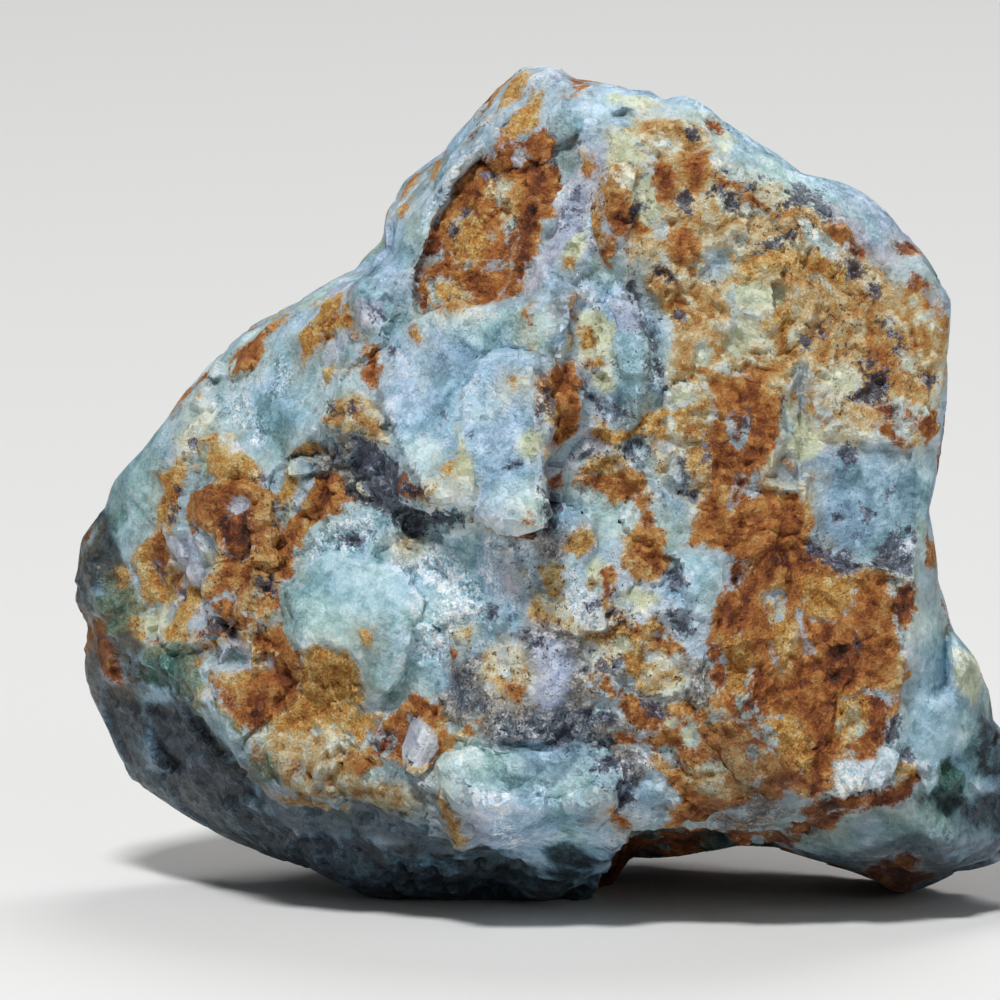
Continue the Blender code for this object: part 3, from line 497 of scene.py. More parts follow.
    # Painted shade at the foot of the front block
    ("slate", 546, 836, 590, 836, 596, 862, 580, 872, 550, 872),
    ("blue", 506, 740, 580, 742, 592, 756, 560, 770, 520, 768),
    ("opal", 582, 818, 600, 812, 613, 833, 628, 851, 625, 863, 616, 872, 600, 866, 590, 848),
    ("gravel", 604, 744, 650, 748, 648, 776, 634, 792, 612, 790),
    ("dark", 606, 790, 630, 790, 636, 806, 616, 810),
    ("opal", 636, 794, 656, 774, 665, 787, 680, 793, 669, 803, 660, 817, 649, 814),
    ("frost", 630, 812, 652, 818, 690, 838, 706, 856, 690, 852, 650, 834, 628, 822),
    ("rust", 602, 806, 625, 815, 647, 832, 674, 848, 696, 856, 669, 858, 645, 843, 622, 828),
    ("frost", 560, 590, 584, 600, 600, 620, 620, 622, 612, 634, 586, 636, 566, 616),
    # The left half: the far side with painted shade, a green bump, a dark hollow, rusty column and crumbs
    ("teal", 104, 470, 150, 430, 168, 462, 154, 520, 140, 570, 112, 560),
    ("slate", 56, 480, 96, 490, 118, 530, 134, 590, 142, 640, 160, 690, 166, 724, 120, 740, 90, 720,
     56, 700),
    ("ochre", 206, 640, 240, 640, 300, 640, 350, 650, 372, 700, 352, 740, 360, 776, 396, 800, 340, 800,
     284, 782, 252, 744, 222, 722, 202, 692),
    ("lilac", 306, 288, 350, 284, 356, 300, 330, 312, 306, 310),
    ("opal", 210, 380, 250, 372, 278, 330, 300, 318, 320, 320, 330, 360, 326, 400, 318, 430, 300, 452,
     268, 480, 250, 460, 232, 440, 210, 410),
    ("frost", 226, 396, 250, 390, 254, 412, 240, 428, 224, 416),
    ("frost", 270, 352, 282, 350, 286, 378, 276, 396, 268, 380),
    ("frost", 252, 424, 268, 418, 272, 440, 256, 446),
    ("teal", 258, 388, 276, 392, 290, 420, 298, 448, 280, 466, 270, 440, 256, 410),
    ("teal", 349, 283, 372, 274, 398, 284, 402, 310, 392, 332, 366, 334, 350, 316),
    ("lilac", 360, 306, 384, 304, 388, 322, 366, 330),
    ("ochre", 300, 334, 318, 316, 339, 312, 356, 320, 358, 334, 334, 334, 322, 348, 312, 359, 298, 372),
    ("lilac", 330, 346, 352, 332, 358, 340, 340, 358, 322, 366),
    ("ochre", 326, 372, 360, 362, 362, 370, 330, 382),
    ("rust", 362, 345, 384, 345, 382, 366, 380, 381, 368, 393, 359, 380, 362, 362),
    ("sand", 332, 408, 362, 396, 380, 412, 386, 438, 352, 438),
    ("ochre", 332, 420, 346, 418, 348, 428, 336, 430),
    ("rust", 259, 319, 272, 316, 266, 336, 263, 352, 253, 370, 240, 373, 226, 382, 224, 364, 236, 356,
     246, 338),
    ("rust", 202, 376, 208, 384, 197, 400, 188, 414, 168, 424, 172, 404, 190, 386),
    ("ochre", 278, 300, 296, 298, 290, 310, 272, 316),
    ("sand", 203, 407, 213, 409, 208, 427, 198, 438, 184, 452, 178, 442, 188, 424),
    ("dark", 350, 437, 363, 432, 380, 444, 395, 464, 398, 484, 407, 502, 418, 514, 436, 506, 458, 511,
     470, 526, 446, 530, 427, 535, 412, 532, 398, 528, 380, 512, 364, 504, 350, 494, 330, 480, 324, 460),
    ("gravel", 322, 448, 350, 436, 362, 448, 364, 476, 350, 492, 330, 484, 318, 466),
    ("sand", 354, 418, 369, 414, 382, 419, 389, 438, 386, 446, 373, 443, 360, 435),
    ("sand", 366, 480, 372, 482, 374, 498, 367, 498),
    ("ochre", 200, 440, 214, 427, 226, 436, 233, 456, 250, 463, 258, 480, 253, 490, 222, 488, 212, 476,
     196, 470),
    ("lime", 203, 446, 213, 446, 216, 468, 206, 476, 199, 462),
    ("ochre", 297, 450, 314, 438, 322, 452, 306, 478, 292, 500, 282, 512, 280, 496, 290, 474),
    ("lime", 300, 458, 312, 456, 304, 476, 296, 476),
    ("rust", 318, 476, 340, 476, 357, 500, 332, 518, 318, 529, 302, 549, 287, 558, 283, 539, 290, 520,
     306, 506),
    ("lime", 288, 498, 296, 500, 292, 518, 283, 526, 281, 514),
    ("rust", 200, 490, 229, 482, 251, 483, 274, 498, 275, 517, 284, 539, 298, 550, 294, 571, 277, 584,
     282, 602, 275, 615, 258, 629, 251, 642, 211, 626, 205, 606, 210, 584, 219, 562, 215, 539, 202, 524,
     198, 508),
    ("umber", 226, 524, 250, 514, 262, 526, 262, 548, 248, 560, 230, 552),
    ("lilac", 232, 504, 250, 498, 256, 508, 244, 518, 232, 516),
    ("umber", 214, 602, 236, 598, 242, 612, 228, 620, 214, 616),
    ("ochre", 164, 478, 176, 468, 185, 450, 194, 452, 186, 477, 184, 517, 186, 562, 195, 593, 197, 606,
     195, 640, 175, 643, 162, 652, 146, 645, 136, 633, 138, 606, 136, 575, 140, 550, 149, 535, 156, 517,
     162, 495),
    ("rust", 152, 540, 170, 520, 180, 530, 182, 556, 186, 584, 176, 600, 160, 590, 150, 566),
    ("lime", 140, 606, 160, 606, 172, 620, 164, 640, 148, 638, 138, 624),
    ("lilac", *GREY_LENS),
    ("lilac", 195, 606, 208, 602, 212, 620, 206, 630, 197, 623),
    ("lime", 208, 546, 218, 548, 218, 566, 210, 572),
    ("dark", 177, 486, 183, 486, 183, 514, 178, 516),
    ("dark", 146, 510, 150, 512, 146, 540, 142, 540),
    ("umber", 200, 628, 220, 613, 240, 613, 256, 615, 245, 641, 229, 643, 214, 638, 203, 634),
    ("dark", 208, 620, 224, 612, 236, 622, 226, 634, 212, 632),
    ("dark", 258, 578, 270, 578, 274, 592, 262, 598, 254, 590),
    ("lilac", 211, 650, 229, 643, 246, 645, 256, 660, 252, 674, 235, 679, 220, 672, 210, 661),
    ("rust", 198, 672, 229, 681, 251, 676, 252, 660, 252, 642, 273, 625, 284, 620, 293, 640, 309, 651,
     304, 669, 306, 691, 292, 708, 271, 723, 262, 731, 240, 724, 220, 710, 204, 696),
    ("lilac", 260, 656, 276, 656, 278, 668, 262, 674),
    ("rust", 202, 660, 224, 676, 218, 704, 200, 694),
    ("ochre", 348, 716, 384, 716, 380, 742, 352, 748),
    ("umber", 216, 692, 232, 694, 236, 708, 222, 708),
    ("ochre", 307, 655, 327, 641, 348, 648, 350, 664, 363, 682, 372, 696, 364, 714, 340, 726, 313, 732,
     296, 741, 286, 722, 303, 697, 305, 673),
    ("sand", 272, 730, 300, 738, 340, 728, 356, 740, 350, 770, 330, 790, 300, 790, 276, 764, 262, 746),
    ("lilac", 318, 780, 336, 776, 342, 790, 324, 794),
    ("opal", 284, 600, 300, 566, 330, 552, 370, 560, 410, 566, 430, 590, 428, 630, 410, 660, 390, 690,
     376, 700, 360, 676, 350, 650, 330, 640, 306, 650, 288, 632),
    ("glassy", 296, 590, 320, 566, 352, 558, 384, 566, 408, 584, 410, 620, 388, 650, 350, 640, 310, 640),
    ("teal", 372, 660, 400, 640, 420, 640, 424, 670, 406, 696, 386, 706, 370, 690),
    ("ochre", 362, 632, 370, 630, 372, 640, 364, 642),
    ("teal", 284, 600, 298, 570, 322, 560, 336, 590, 326, 624, 306, 648, 290, 632),
    ("frost", 296, 560, 316, 534, 340, 522, 372, 524, 380, 540, 352, 556, 330, 552, 306, 566),
    ("dark", 342, 540, 354, 536, 368, 540, 362, 550, 346, 550),
    ("frost", 392, 548, 420, 540, 450, 548, 470, 566, 490, 580, 486, 606, 476, 626, 458, 626, 446, 640,
     440, 658, 420, 668, 402, 652, 414, 630, 432, 616, 440, 596, 420, 580, 396, 570),
    ("opal", 484, 556, 512, 550, 522, 590, 524, 622, 506, 640, 488, 634, 484, 600),
    ("frost", 482, 540, 528, 532, 538, 556, 532, 600, 508, 622, 490, 606, 476, 574),
    ("lilac", 500, 566, 516, 562, 520, 590, 506, 598),
    ("dark", 478, 606, 492, 602, 498, 618, 484, 624),
    ("sand", 406, 536, 422, 534, 428, 546, 414, 552, 402, 546),
    ("teal", 370, 540, 388, 540, 392, 556, 376, 562),
    ("teal", 464, 540, 480, 536, 484, 566, 472, 574, 464, 560),
    ("umber", 505, 524, 530, 522, 542, 532, 534, 544, 514, 546),
    # Painted shadow: a thin dark band under the step at the foot of the central block
    ("dark", 500, 530, 542, 526, 550, 492, 559, 494, 558, 532, 524, 541, 502, 537),
    ("ochre", 474, 512, 492, 520, 512, 530, 516, 544, 506, 546, 488, 532, 472, 522),
    ("ochre", 500, 530, 510, 528, 518, 540, 508, 546),
    # The rusty wedge round the lilac lens, and the tongue below it
    ("rust", 383, 720, 401, 710, 419, 692, 430, 704, 443, 703, 446, 720, 455, 738, 475, 719, 486, 714,
     480, 727, 462, 741, 448, 752, 440, 766, 424, 773, 408, 766, 396, 762, 377, 777, 363, 777, 348, 774,
     344, 751, 363, 748, 379, 729),
    ("umber", 380, 734, 396, 732, 400, 750, 388, 758, 378, 748),
    ("lilac", *LILAC_LENS),
    ("sand", 346, 738, 358, 736, 360, 752, 348, 756),
    ("frost", 411, 777, 439, 772, 448, 787, 430, 800, 412, 800),
    ("sand", 340, 778, 380, 778, 412, 790, 420, 804, 396, 806, 350, 800, 330, 796),
    ("ochre", 430, 798, 446, 787, 460, 798, 457, 829, 446, 829, 434, 810),
    # The left edge and the underside, with painted shade where they turn down
    ("moss", 148, 646, 175, 641, 195, 640, 198, 655, 205, 675, 207, 698, 193, 706, 175, 692, 157, 688,
     143, 673, 138, 655),
    ("moss", 194, 694, 214, 706, 244, 730, 264, 750, 286, 776, 264, 778, 236, 758, 208, 738, 188, 712),
    ("moss", 106, 584, 134, 578, 140, 606, 136, 632, 116, 634, 104, 610),
    ("ochre", 116, 572, 130, 568, 132, 582, 120, 586),
    ("umber", 76, 524, 90, 524, 92, 542, 80, 544),
    ("rust", 98, 610, 108, 612, 112, 640, 104, 650, 96, 630),
    ("umber", 102, 640, 124, 646, 130, 680, 116, 684, 104, 664),
    ("ochre", 80, 662, 88, 668, 88, 688, 80, 690),
    ("slate", 90, 676, 117, 684, 133, 712, 146, 740, 150, 774, 146, 796, 122, 780, 106, 749, 96, 718,
     84, 693),
    ("teal", 139, 684, 162, 690, 175, 713, 173, 747, 157, 740, 141, 709),
    ("slate", 60, 560, 80, 600, 92, 650, 84, 690, 60, 690),
    ("slate", 150, 700, 176, 696, 204, 706, 226, 746, 248, 764, 280, 796, 330, 808, 400, 806, 424, 826,
     460, 836, 520, 846, 552, 876, 600, 880, 600, 930, 120, 930, 110, 780, 140, 800, 152, 770, 150, 730),
    ("teal", 204, 706, 232, 726, 245, 749, 248, 763, 224, 750, 200, 726),
    ("rust", 247, 738, 262, 736, 264, 756, 252, 760),
    ("shade", 250, 772, 290, 796, 350, 806, 400, 808, 424, 828, 460, 838, 520, 848, 556, 878, 500, 866,
     440, 858, 380, 840, 300, 830, 250, 800),
)

# Small spots: middle, half width and half height in pixels, clockwise turn in degrees
SPOTS = {
    # The dark spots at (546, 500), (547, 510) and (556, 530) are painted shadow under the step of the central
    # block
    "dark": ((722, 173, 6, 5, 0), (725, 204, 9, 8, 20), (712, 193, 6, 6, 0), (743, 193, 13, 5, -15),
        (756, 182, 7, 4, 0), (685, 204, 7, 9, 0), (633, 211, 5, 11, 10), (645, 207, 4, 6, 0),
        (778, 240, 17, 5, -24), (850, 271, 12, 7, 30), (866, 293, 7, 10, -20), (880, 327, 6, 4, 0),
        (889, 341, 8, 4, 20), (895, 356, 6, 4, 0), (821, 329, 5, 8, 0), (805, 344, 6, 7, 0),
        (861, 367, 7, 4, 0), (926, 385, 8, 6, 0), (863, 395, 14, 5, -8), (881, 383, 4, 9, 0),
        (665, 271, 14, 6, 42), (707, 282, 10, 4, 12), (676, 325, 7, 6, 0), (642, 331, 6, 14, -25),
        (658, 371, 5, 14, -25), (642, 362, 3, 6, 0), (814, 193, 5, 3, 0), (689, 134, 6, 6, 30),
        (543, 402, 3, 14, 4), (546, 500, 4, 20, 2), (574, 199, 6, 11, 20), (562, 222, 5, 8, 0),
        (635, 288, 6, 11, 20), (637, 268, 2, 3, 0), (643, 337, 4, 8, -20), (612, 320, 4, 4, 0),
        (581, 388, 3, 12, 8), (587, 403, 7, 5, 30), (600, 413, 8, 3, 25), (615, 416, 9, 5, 20),
        (633, 445, 12, 6, -30), (583, 459, 10, 3, -35), (637, 457, 4, 8, 0), (645, 446, 3, 9, 0),
        (629, 450, 5, 9, 30), (545, 407, 4, 7, 0), (513, 466, 8, 5, 0), (472, 434, 2, 3, 0),
        (449, 420, 2, 4, 0), (547, 510, 4, 15, 0), (556, 530, 9, 4, -15), (740, 424, 5, 9, 10),
        (835, 516, 5, 5, 0), (864, 513, 7, 5, 30), (852, 534, 3, 3, 0), (887, 495, 3, 2, 0),
        (852, 642, 5, 9, 25), (680, 476, 4, 13, 0), (689, 493, 8, 7, 0), (703, 453, 3, 11, 0),
        (783, 408, 3, 8, 0), (839, 408, 7, 4, 0), (613, 616, 8, 9, 0), (591, 609, 7, 7, 0),
        (560, 735, 8, 9, 0), (606, 714, 12, 8, 10), (215, 657, 5, 6, 0), (157, 568, 4, 7, 0),
        (175, 598, 4, 7, 0), (265, 481, 8, 3, 10), (284, 515, 2, 9, 35), (380, 316, 8, 5, 20),
        (395, 352, 5, 10, 25), (195, 446, 4, 7, 0), (488, 182, 7, 5, 0), (465, 218, 5, 5, 0),
        (457, 237, 6, 7, 0), (512, 227, 4, 5, 20), (586, 664, 8, 4, 0), (640, 752, 6, 4, 20),
        (892, 533, 5, 9, 0), (625, 845, 12, 5, 25), (600, 766, 12, 8, 0), (484, 706, 8, 6, 0),
        (455, 676, 6, 5, 0), (537, 646, 9, 6, 0), (413, 486, 9, 5, 30), (333, 408, 5, 5, 0),
        (355, 412, 4, 4, 0), (452, 140, 5, 4, 0), (502, 128, 4, 5, 20), (495, 120, 4, 3, 0),
        (506, 97, 3, 3, 0)),
    "lilac": ((510, 148, 7, 4, 0), (492, 264, 6, 6, 0), (570, 466, 8, 7, 0), (547, 396, 4, 4, 0)),
    "teal": ((616, 121, 13, 10, -20), (170, 615, 7, 8, 0), (233, 664, 10, 7, 0)),
    "lime": ((720, 147, 7, 9, 0), (735, 178, 8, 7, 0), (745, 287, 7, 6, 0), (633, 593, 9, 5, -20),
        (688, 734, 7, 10, 20), (669, 722, 7, 6, 0)),
    "ochre": ((671, 615, 11, 4, 12), (660, 630, 10, 3, -20), (589, 587, 7, 6, 0), (591, 661, 3, 16, 8),
        (607, 657, 3, 16, -8), (658, 631, 13, 3, 20), (522, 577, 5, 5, 0), (692, 712, 6, 9, 0),
        (618, 628, 14, 6, 10), (173, 636, 11, 5, 0), (505, 560, 4, 4, 0)),
    "rust": ((580, 90, 6, 8, 0), (565, 99, 4, 3, 0), (529, 318, 2, 8, 0), (612, 584, 3, 9, 0),
        (449, 276, 8, 5, 0), (754, 378, 9, 11, 0), (296, 769, 9, 7, 0), (372, 345, 4, 5, 0)),
    "frost": ((665, 147, 7, 5, 0), (388, 771, 5, 4, 0), (642, 753, 6, 9, 0), (726, 841, 9, 6, -20),
        (702, 852, 7, 5, 0), (782, 802, 9, 4, 0), (663, 754, 6, 4, 0), (677, 765, 6, 5, 0),
        (748, 754, 4, 7, -30), (759, 774, 5, 5, 0), (601, 703, 8, 6, 0), (864, 700, 4, 4, 0)),
}

# How finely the stone is meshed: cells along each side of the cube that the rays come from, the box that
# their spacing is worked out on (its front, half width and back, seen from the heart, in millimetres), how
# closely the rays stand on its front, sides and back, and the steps that their tip is worked out in
CELLS_PER_SIDE = 126
SPACING_BOX = (11.5, 19.0, 13.0)
SPACING_SHARES = (1.35, 0.9, 0.6)
SPACING_STEPS = 4001
# The cube's sides, and the corners of each face of the mesh
CUBE_SIDES = 6
CORNERS = 4

# The fine relief. Its facets are given as the larger ones are, and only the whole of it fades at the rim.
FINE_FACETS = ((2.6, 0.26, 1.8, 0.35, 1.0, 30), (1.25, 0.12, 0.9, 0.2, 1.0, 31))
# Flakes: size in millimetres, how steeply they tilt on bare opal and under a crust, share of that which is
# left on the flat faces, share of their size that their edges are crooked by, and seed
FLAKES = (
    (2.8, 0.21, 0.14, 0.15, 0.16, 131), (1.25, 0.13, 0.18, 0.5, 0.20, 134),
    (0.62, 0.13, 0.28, 0.5, 0.25, 137))
# The pixels over which the flakes calm down towards the flat faces
CALM_FADE = 8.0
# The crumbs of the crusts: size and height in millimetres, and seed
CRUMBS = ((1.3, 0.12, 50), (0.8, 0.11, 51), (0.45, 0.09, 54))
# How thick the crusts are, in millimetres
CRUST_THICKNESS = 0.14
# The upright fibres of the rust: size across and along, and height, in millimetres, and seed
FIBRES = (0.6, 3.0, 0.14, 57)
# How much deeper the dark cracks and pits lie, in millimetres
DARK_DEPTH = 0.25
# Where these set in across the border of their patch, in pixels inside it
CRUST_BORDER = (-3.0, 5.0)
SMOOTHER_BORDER = (-6.0, 4.0)
FIBRE_BORDER = (0.0, 20.0)
DARK_BORDER = (-1.0, 8.0)
# The share of the flakes' relief that shows on the smoother kinds
SMOOTHER = {"glassy": 0.30, "blue": 0.25, "pale": 0.5, "teal": 0.5, "lilac": 0.5}
# The share of the fine relief that is left at the rim
LEFT_AT_RIM = 0.35
# Two cells that meet at more than this angle, in radians, keep a sharp edge
SHARP_FROM = 0.55

# Faces of breakage that are flatter than the facets round them: how far they are flattened, width of their
# edge, and across and down of each corner, in pixels
FLAT_FACES = (
    # The central block: its front, its left part and its top
    (0.80, 7, 486, 366, 513, 354, 537, 357, 541, 400, 546, 440, 548, 480, 543, 524, 505, 528, 480, 512,
     468, 480, 462, 440, 470, 396),
    (0.65, 7, 394, 330, 430, 318, 464, 344, 470, 396, 462, 440, 468, 480, 474, 508, 444, 502, 420, 482,
     398, 440, 382, 400, 380, 360),
    (0.65, 7, 430, 318, 480, 308, 520, 304, 552, 310, 558, 334, 540, 356, 513, 354, 486, 366, 464, 346),
    # The slab, the two halves of the panel, and the pale window
    (0.70, 8, *SLAB),
    (0.55, 10, 726, 560, 802, 545, 847, 562, 897, 576, 909, 591, 900, 640, 840, 650, 780, 640, 712, 640,
     712, 600),
    (0.55, 10, 712, 640, 780, 640, 840, 650, 900, 640, 891, 700, 882, 743, 850, 762, 815, 797, 774, 757,
     738, 722, 709, 688),
    (0.75, 8, 800, 430, 846, 437, 863, 447, 890, 444, 913, 452, 922, 466, 920, 506, 914, 534, 883, 548,
     852, 557, 823, 548, 808, 533, 806, 500, 790, 480),
    # The lower left bump, the block in the lower front, and the shoulder
    (0.60, 8, 300, 566, 330, 552, 370, 560, 400, 572, 424, 600, 404, 622, 350, 612, 300, 600),
    (0.60, 8, 300, 600, 350, 612, 404, 622, 410, 640, 390, 690, 376, 700, 350, 650, 306, 650),
    (0.60, 8, 470, 750, 540, 752, 584, 750, 612, 768, 600, 790, 540, 800, 470, 790, 456, 766),
    (0.60, 8, 456, 790, 540, 800, 600, 790, 613, 834, 625, 866, 548, 873, 520, 848, 480, 840),
    (0.60, 10, 210, 380, 250, 372, 280, 330, 320, 320, 330, 360, 318, 430, 268, 480, 232, 440),
    # The right strip and the mixed crust
    (0.60, 10, 914, 446, 944, 440, 934, 520, 936, 570, 950, 630, 948, 690, 925, 700, 905, 640),
    (0.50, 10, 640, 118, 700, 124, 740, 168, 720, 230, 680, 280, 640, 240, 630, 170),
    (0.50, 10, 740, 168, 806, 214, 862, 262, 886, 284, 800, 260, 735, 276, 700, 250, 720, 220),
    (0.50, 10, 820, 270, 886, 284, 944, 330, 940, 400, 880, 400, 830, 370, 812, 320),
)
# Crisp small ledges between neighbours: height in millimetres, width of their edge, and across and down of
# each corner, in pixels
LEDGES = (
    # The central block, and the slab on its front
    (0.30, 8, 430, 318, 480, 308, 520, 304, 552, 310, 558, 334, 545, 357, 540, 400, 545, 440, 547, 480,
     542, 524, 505, 528, 474, 512, 444, 502, 420, 482, 398, 440, 382, 400, 380, 360, 394, 330),
    (0.20, 7, 484, 366, 513, 354, 537, 357, 540, 400, 545, 440, 546, 480, 541, 522, 505, 526, 480, 510,
     468, 480, 462, 440, 468, 396),
    # The pale window lies deeper, and so do the rusty slab and panel
    (-0.40, 8, *WINDOW),
    (-0.12, 8, *SLAB),
    (-0.30, 10, 802, 540, 847, 562, 897, 576, 909, 591, 899, 618, 891, 684, 882, 743, 850, 762, 815, 797,
     774, 757, 738, 722, 709, 688, 712, 622, 726, 580, 760, 552),
    # Lenses, knobs and plates that stand proud
    (0.45, 6, *LILAC_LENS),
    (0.35, 6, *GREY_LENS),
    (0.40, 7, *WHITE_KNOB),
    (0.45, 8, 448, 764, 470, 750, 500, 744, 540, 752, 584, 750, 612, 768, 622, 790, 606, 806, 600, 820,
     613, 834, 628, 852, 625, 870, 548, 876, 520, 850, 480, 842, 452, 834),
    (0.35, 8, 284, 600, 300, 566, 330, 552, 370, 560, 400, 572, 424, 600, 410, 640, 390, 690, 376, 700,
     360, 676, 350, 650, 330, 640, 306, 650, 288, 632),
    (0.35, 8, 205, 490, 229, 482, 251, 483, 272, 498, 273, 517, 280, 545, 270, 580, 275, 610, 251, 640,
     214, 626, 207, 606, 214, 584, 221, 562, 217, 539, 206, 520),
    (0.30, 6, 738, 276, 770, 262, 806, 270, 818, 300, 806, 340, 776, 356, 746, 350, 730, 316),
    (0.35, 6, 606, 300, 634, 290, 648, 330, 646, 372, 626, 380, 612, 340),
    (-0.35, 6, 562, 440, 600, 430, 612, 444, 590, 462, 566, 468),
)
LEDGE_CROOKEDNESS = (0.9, 0.12, 161)

# The border of a patch: size and amount of its crookedness in millimetres, and seed
PATCH_CROOKEDNESS = ((2.4, 0.28, 61), (0.9, 0.14, 64))
# How the kinds mix there: size of the lumps in millimetres, pixels that they move the border by, and seed
BORDER_MIXING = ((1.5, 4.0, 101), (0.75, 3.5, 104), (0.4, 3.0, 107))
# How far from a border a kind's distance is kept, in pixels
FAR_FROM_BORDER = 30.0
# Where the sides and back take over from the face: millimetres behind the outline
BACK_STARTS = (0.2, 2.6)
# What is scattered over the sides, back and underside: the kind, the size of its lumps in millimetres, the
# height of the noise at its border, pixels of distance for each unit of it, and seed
SCATTERED = (
    ("teal", 8.0, 0.05, 70.0, 71), ("frost", 5.0, 0.30, 60.0, 74), ("lilac", 6.0, 0.34, 60.0, 77),
    ("sand", 9.0, 0.22, 70.0, 80), ("lime", 4.0, 0.46, 50.0, 83), ("rust", 10.0, 0.14, 80.0, 86),
    ("ochre", 4.5, 0.42, 50.0, 89), ("umber", 5.0, 0.50, 50.0, 92), ("dark", 3.5, 0.58, 40.0, 95),
)
# The dark underside, painted shade as the shaded slate and shade kinds among brown umber patches: the
# kind, the height that it reaches in millimetres, pixels of distance for each millimetre below that, size
# of its lumps in millimetres, pixels that they move its border by, and seed
UNDERSIDE = (
    ("slate", 5.5, 11.0, 5.0, 42.0, 151), ("shade", 2.5, 11.0, 4.0, 30.0, 154),
    ("umber", 3.0, 3.0, 2.2, 34.0, 157))
# Where the surface is steep the borders wander more: how steep it is there (0 flat on to the view, 1 edge
# on), and size and amount of the wandering in millimetres, and seed
STEEPNESS = (0.45, 0.85)
WANDERING = (2.6, 2.0, 181)
# All kinds of patches but the plain opal that lies under them
KINDS = (
    "glassy", "blue", "pale", "frost", "teal", "lilac", "slate", "moss", "lime", "gravel", "sand", "ochre",
    "rust", "umber", "dark", "shade")
# The pixels over which neighbouring kinds run into each other, on the vertices
RUN_TOGETHER = 5.0

# Where the crusts stand on one scale from cream (0) to nearly black (1), and how mottled each is
CRUSTS = {"sand": (0.27, 0.24), "ochre": (0.42, 0.15), "rust": (0.59, 0.11), "umber": (0.80, 0.12)}
# The share that every crust has everywhere, so that the scale has a value outside them all too
LEAST_SHARE = 0.01
# Crusts are lighter at their borders: by how much on that scale, and over how many pixels
LIGHT_BORDER = (0.13, 16.0)
# Upright streaks in the rust: size across and along in millimetres, height on the scale, and seed
STREAKS = (0.45, 2.6, 0.13, 127)
# Where plain opal and its other kinds stand on one scale from deep teal (0) to white (1)
OPAL_TONE = 0.63
# The shaded slate's low place on this scale is painted shade on the underside and the far side
OPAL_TONES = {
    "glassy": 0.60, "blue": 0.47, "pale": 0.72, "frost": 0.74, "teal": 0.49, "slate": 0.08, "moss": 0.38,
    "lime": 0.72}
# The clouds in all of them: size of the lumps in millimetres, height and seed, and how strong they are in
# the opal
CLOUDS = ((3.6, 0.40, 111), (1.7, 0.36, 114), (0.8, 0.34, 117), (0.45, 0.42, 120))
CLOUDS_IN_OPAL = 0.10
# How much lighter or darker one flake is than the next on the opal's scale, and what part of that on the
# crusts' scale
FLAKE_CONTRAST = 0.24
FLAKES_IN_CRUST = 0.6
# How much stronger the finest grains of these are coloured
SPECKLED = {"frost": 1.4, "gravel": 0.9, "dark": 1.0, "moss": 0.8, "slate": 0.3, "ochre": 1.0}
# The hues that drift through the opal: size of the lumps in millimetres, strength of the mint and lilac ends,
# and seed, how much of the lilac end shows, and how much lilac the blue has of its own, and mint the clear
# kinds (teal and glassy) and the pale one
HUES = ((5.0, 0.7, 171), (2.0, 0.6, 174))
DRIFTING_LILAC = 0.7
LILAC_IN_BLUE = 0.2
MINT_IN_CLEAR = 0.35
MINT_IN_PALE = 0.5
# Opal under and beside the sand is creamy: pixels inside the sand where that starts and is full, and how
# much lime and lightness it adds
CREAMY_BORDER = (-14.0, 4.0)
CREAMY_LIME = 0.45
CREAMY_LIGHTNESS = 0.08
# The share of the mixing that moves the borders of the dark, and the share of painted shade in the shaded
# slate
MIXING_IN_DARK = 0.25
SHADE_IN_SLATE = 0.6
# A hollow or crest so many millimetres from the mean of its neighbours is a full one
FULL_HOLLOW = 0.05
# Where black grains lie thickly in the opal: across and down of each corner, in pixels
PEPPERED = (
    (480, 530, 560, 520, 640, 540, 700, 570, 712, 640, 740, 760, 690, 806, 600, 800, 510, 745, 440, 710,
     420, 670, 440, 620, 520, 610),
    (566, 150, 640, 200, 664, 300, 655, 430, 700, 480, 680, 530, 560, 500, 580, 400, 566, 300),
    (700, 160, 760, 170, 830, 230, 900, 340, 930, 400, 870, 420, 800, 390, 820, 300, 700, 210),
    (800, 480, 912, 480, 912, 570, 820, 556),
    (330, 430, 400, 430, 480, 530, 400, 560, 330, 520),
    (200, 480, 290, 500, 290, 640, 300, 760, 230, 730, 200, 640),
)
PEPPER_FADE = 24.0
# Painted shade where the face turns down or away, so that its tone is dimmer there: across and down of each
# corner, in pixels
PAINTED_SHADE_AREAS = (
    (190, 715, 250, 740, 300, 765, 360, 775, 440, 775, 462, 800, 470, 860, 100, 860, 100, 700, 140, 690),
    (690, 796, 760, 816, 840, 812, 900, 806, 950, 806, 984, 770, 988, 690, 1060, 690, 1060, 900, 690, 900),
    (40, 420, 110, 430, 125, 500, 110, 560, 100, 700, 40, 700),
    (700, 740, 740, 720, 790, 760, 830, 800, 780, 830, 700, 830),
)
PAINTED_SHADE_FADE = 26.0
PAINTED_SHADE_AMOUNT = 0.55

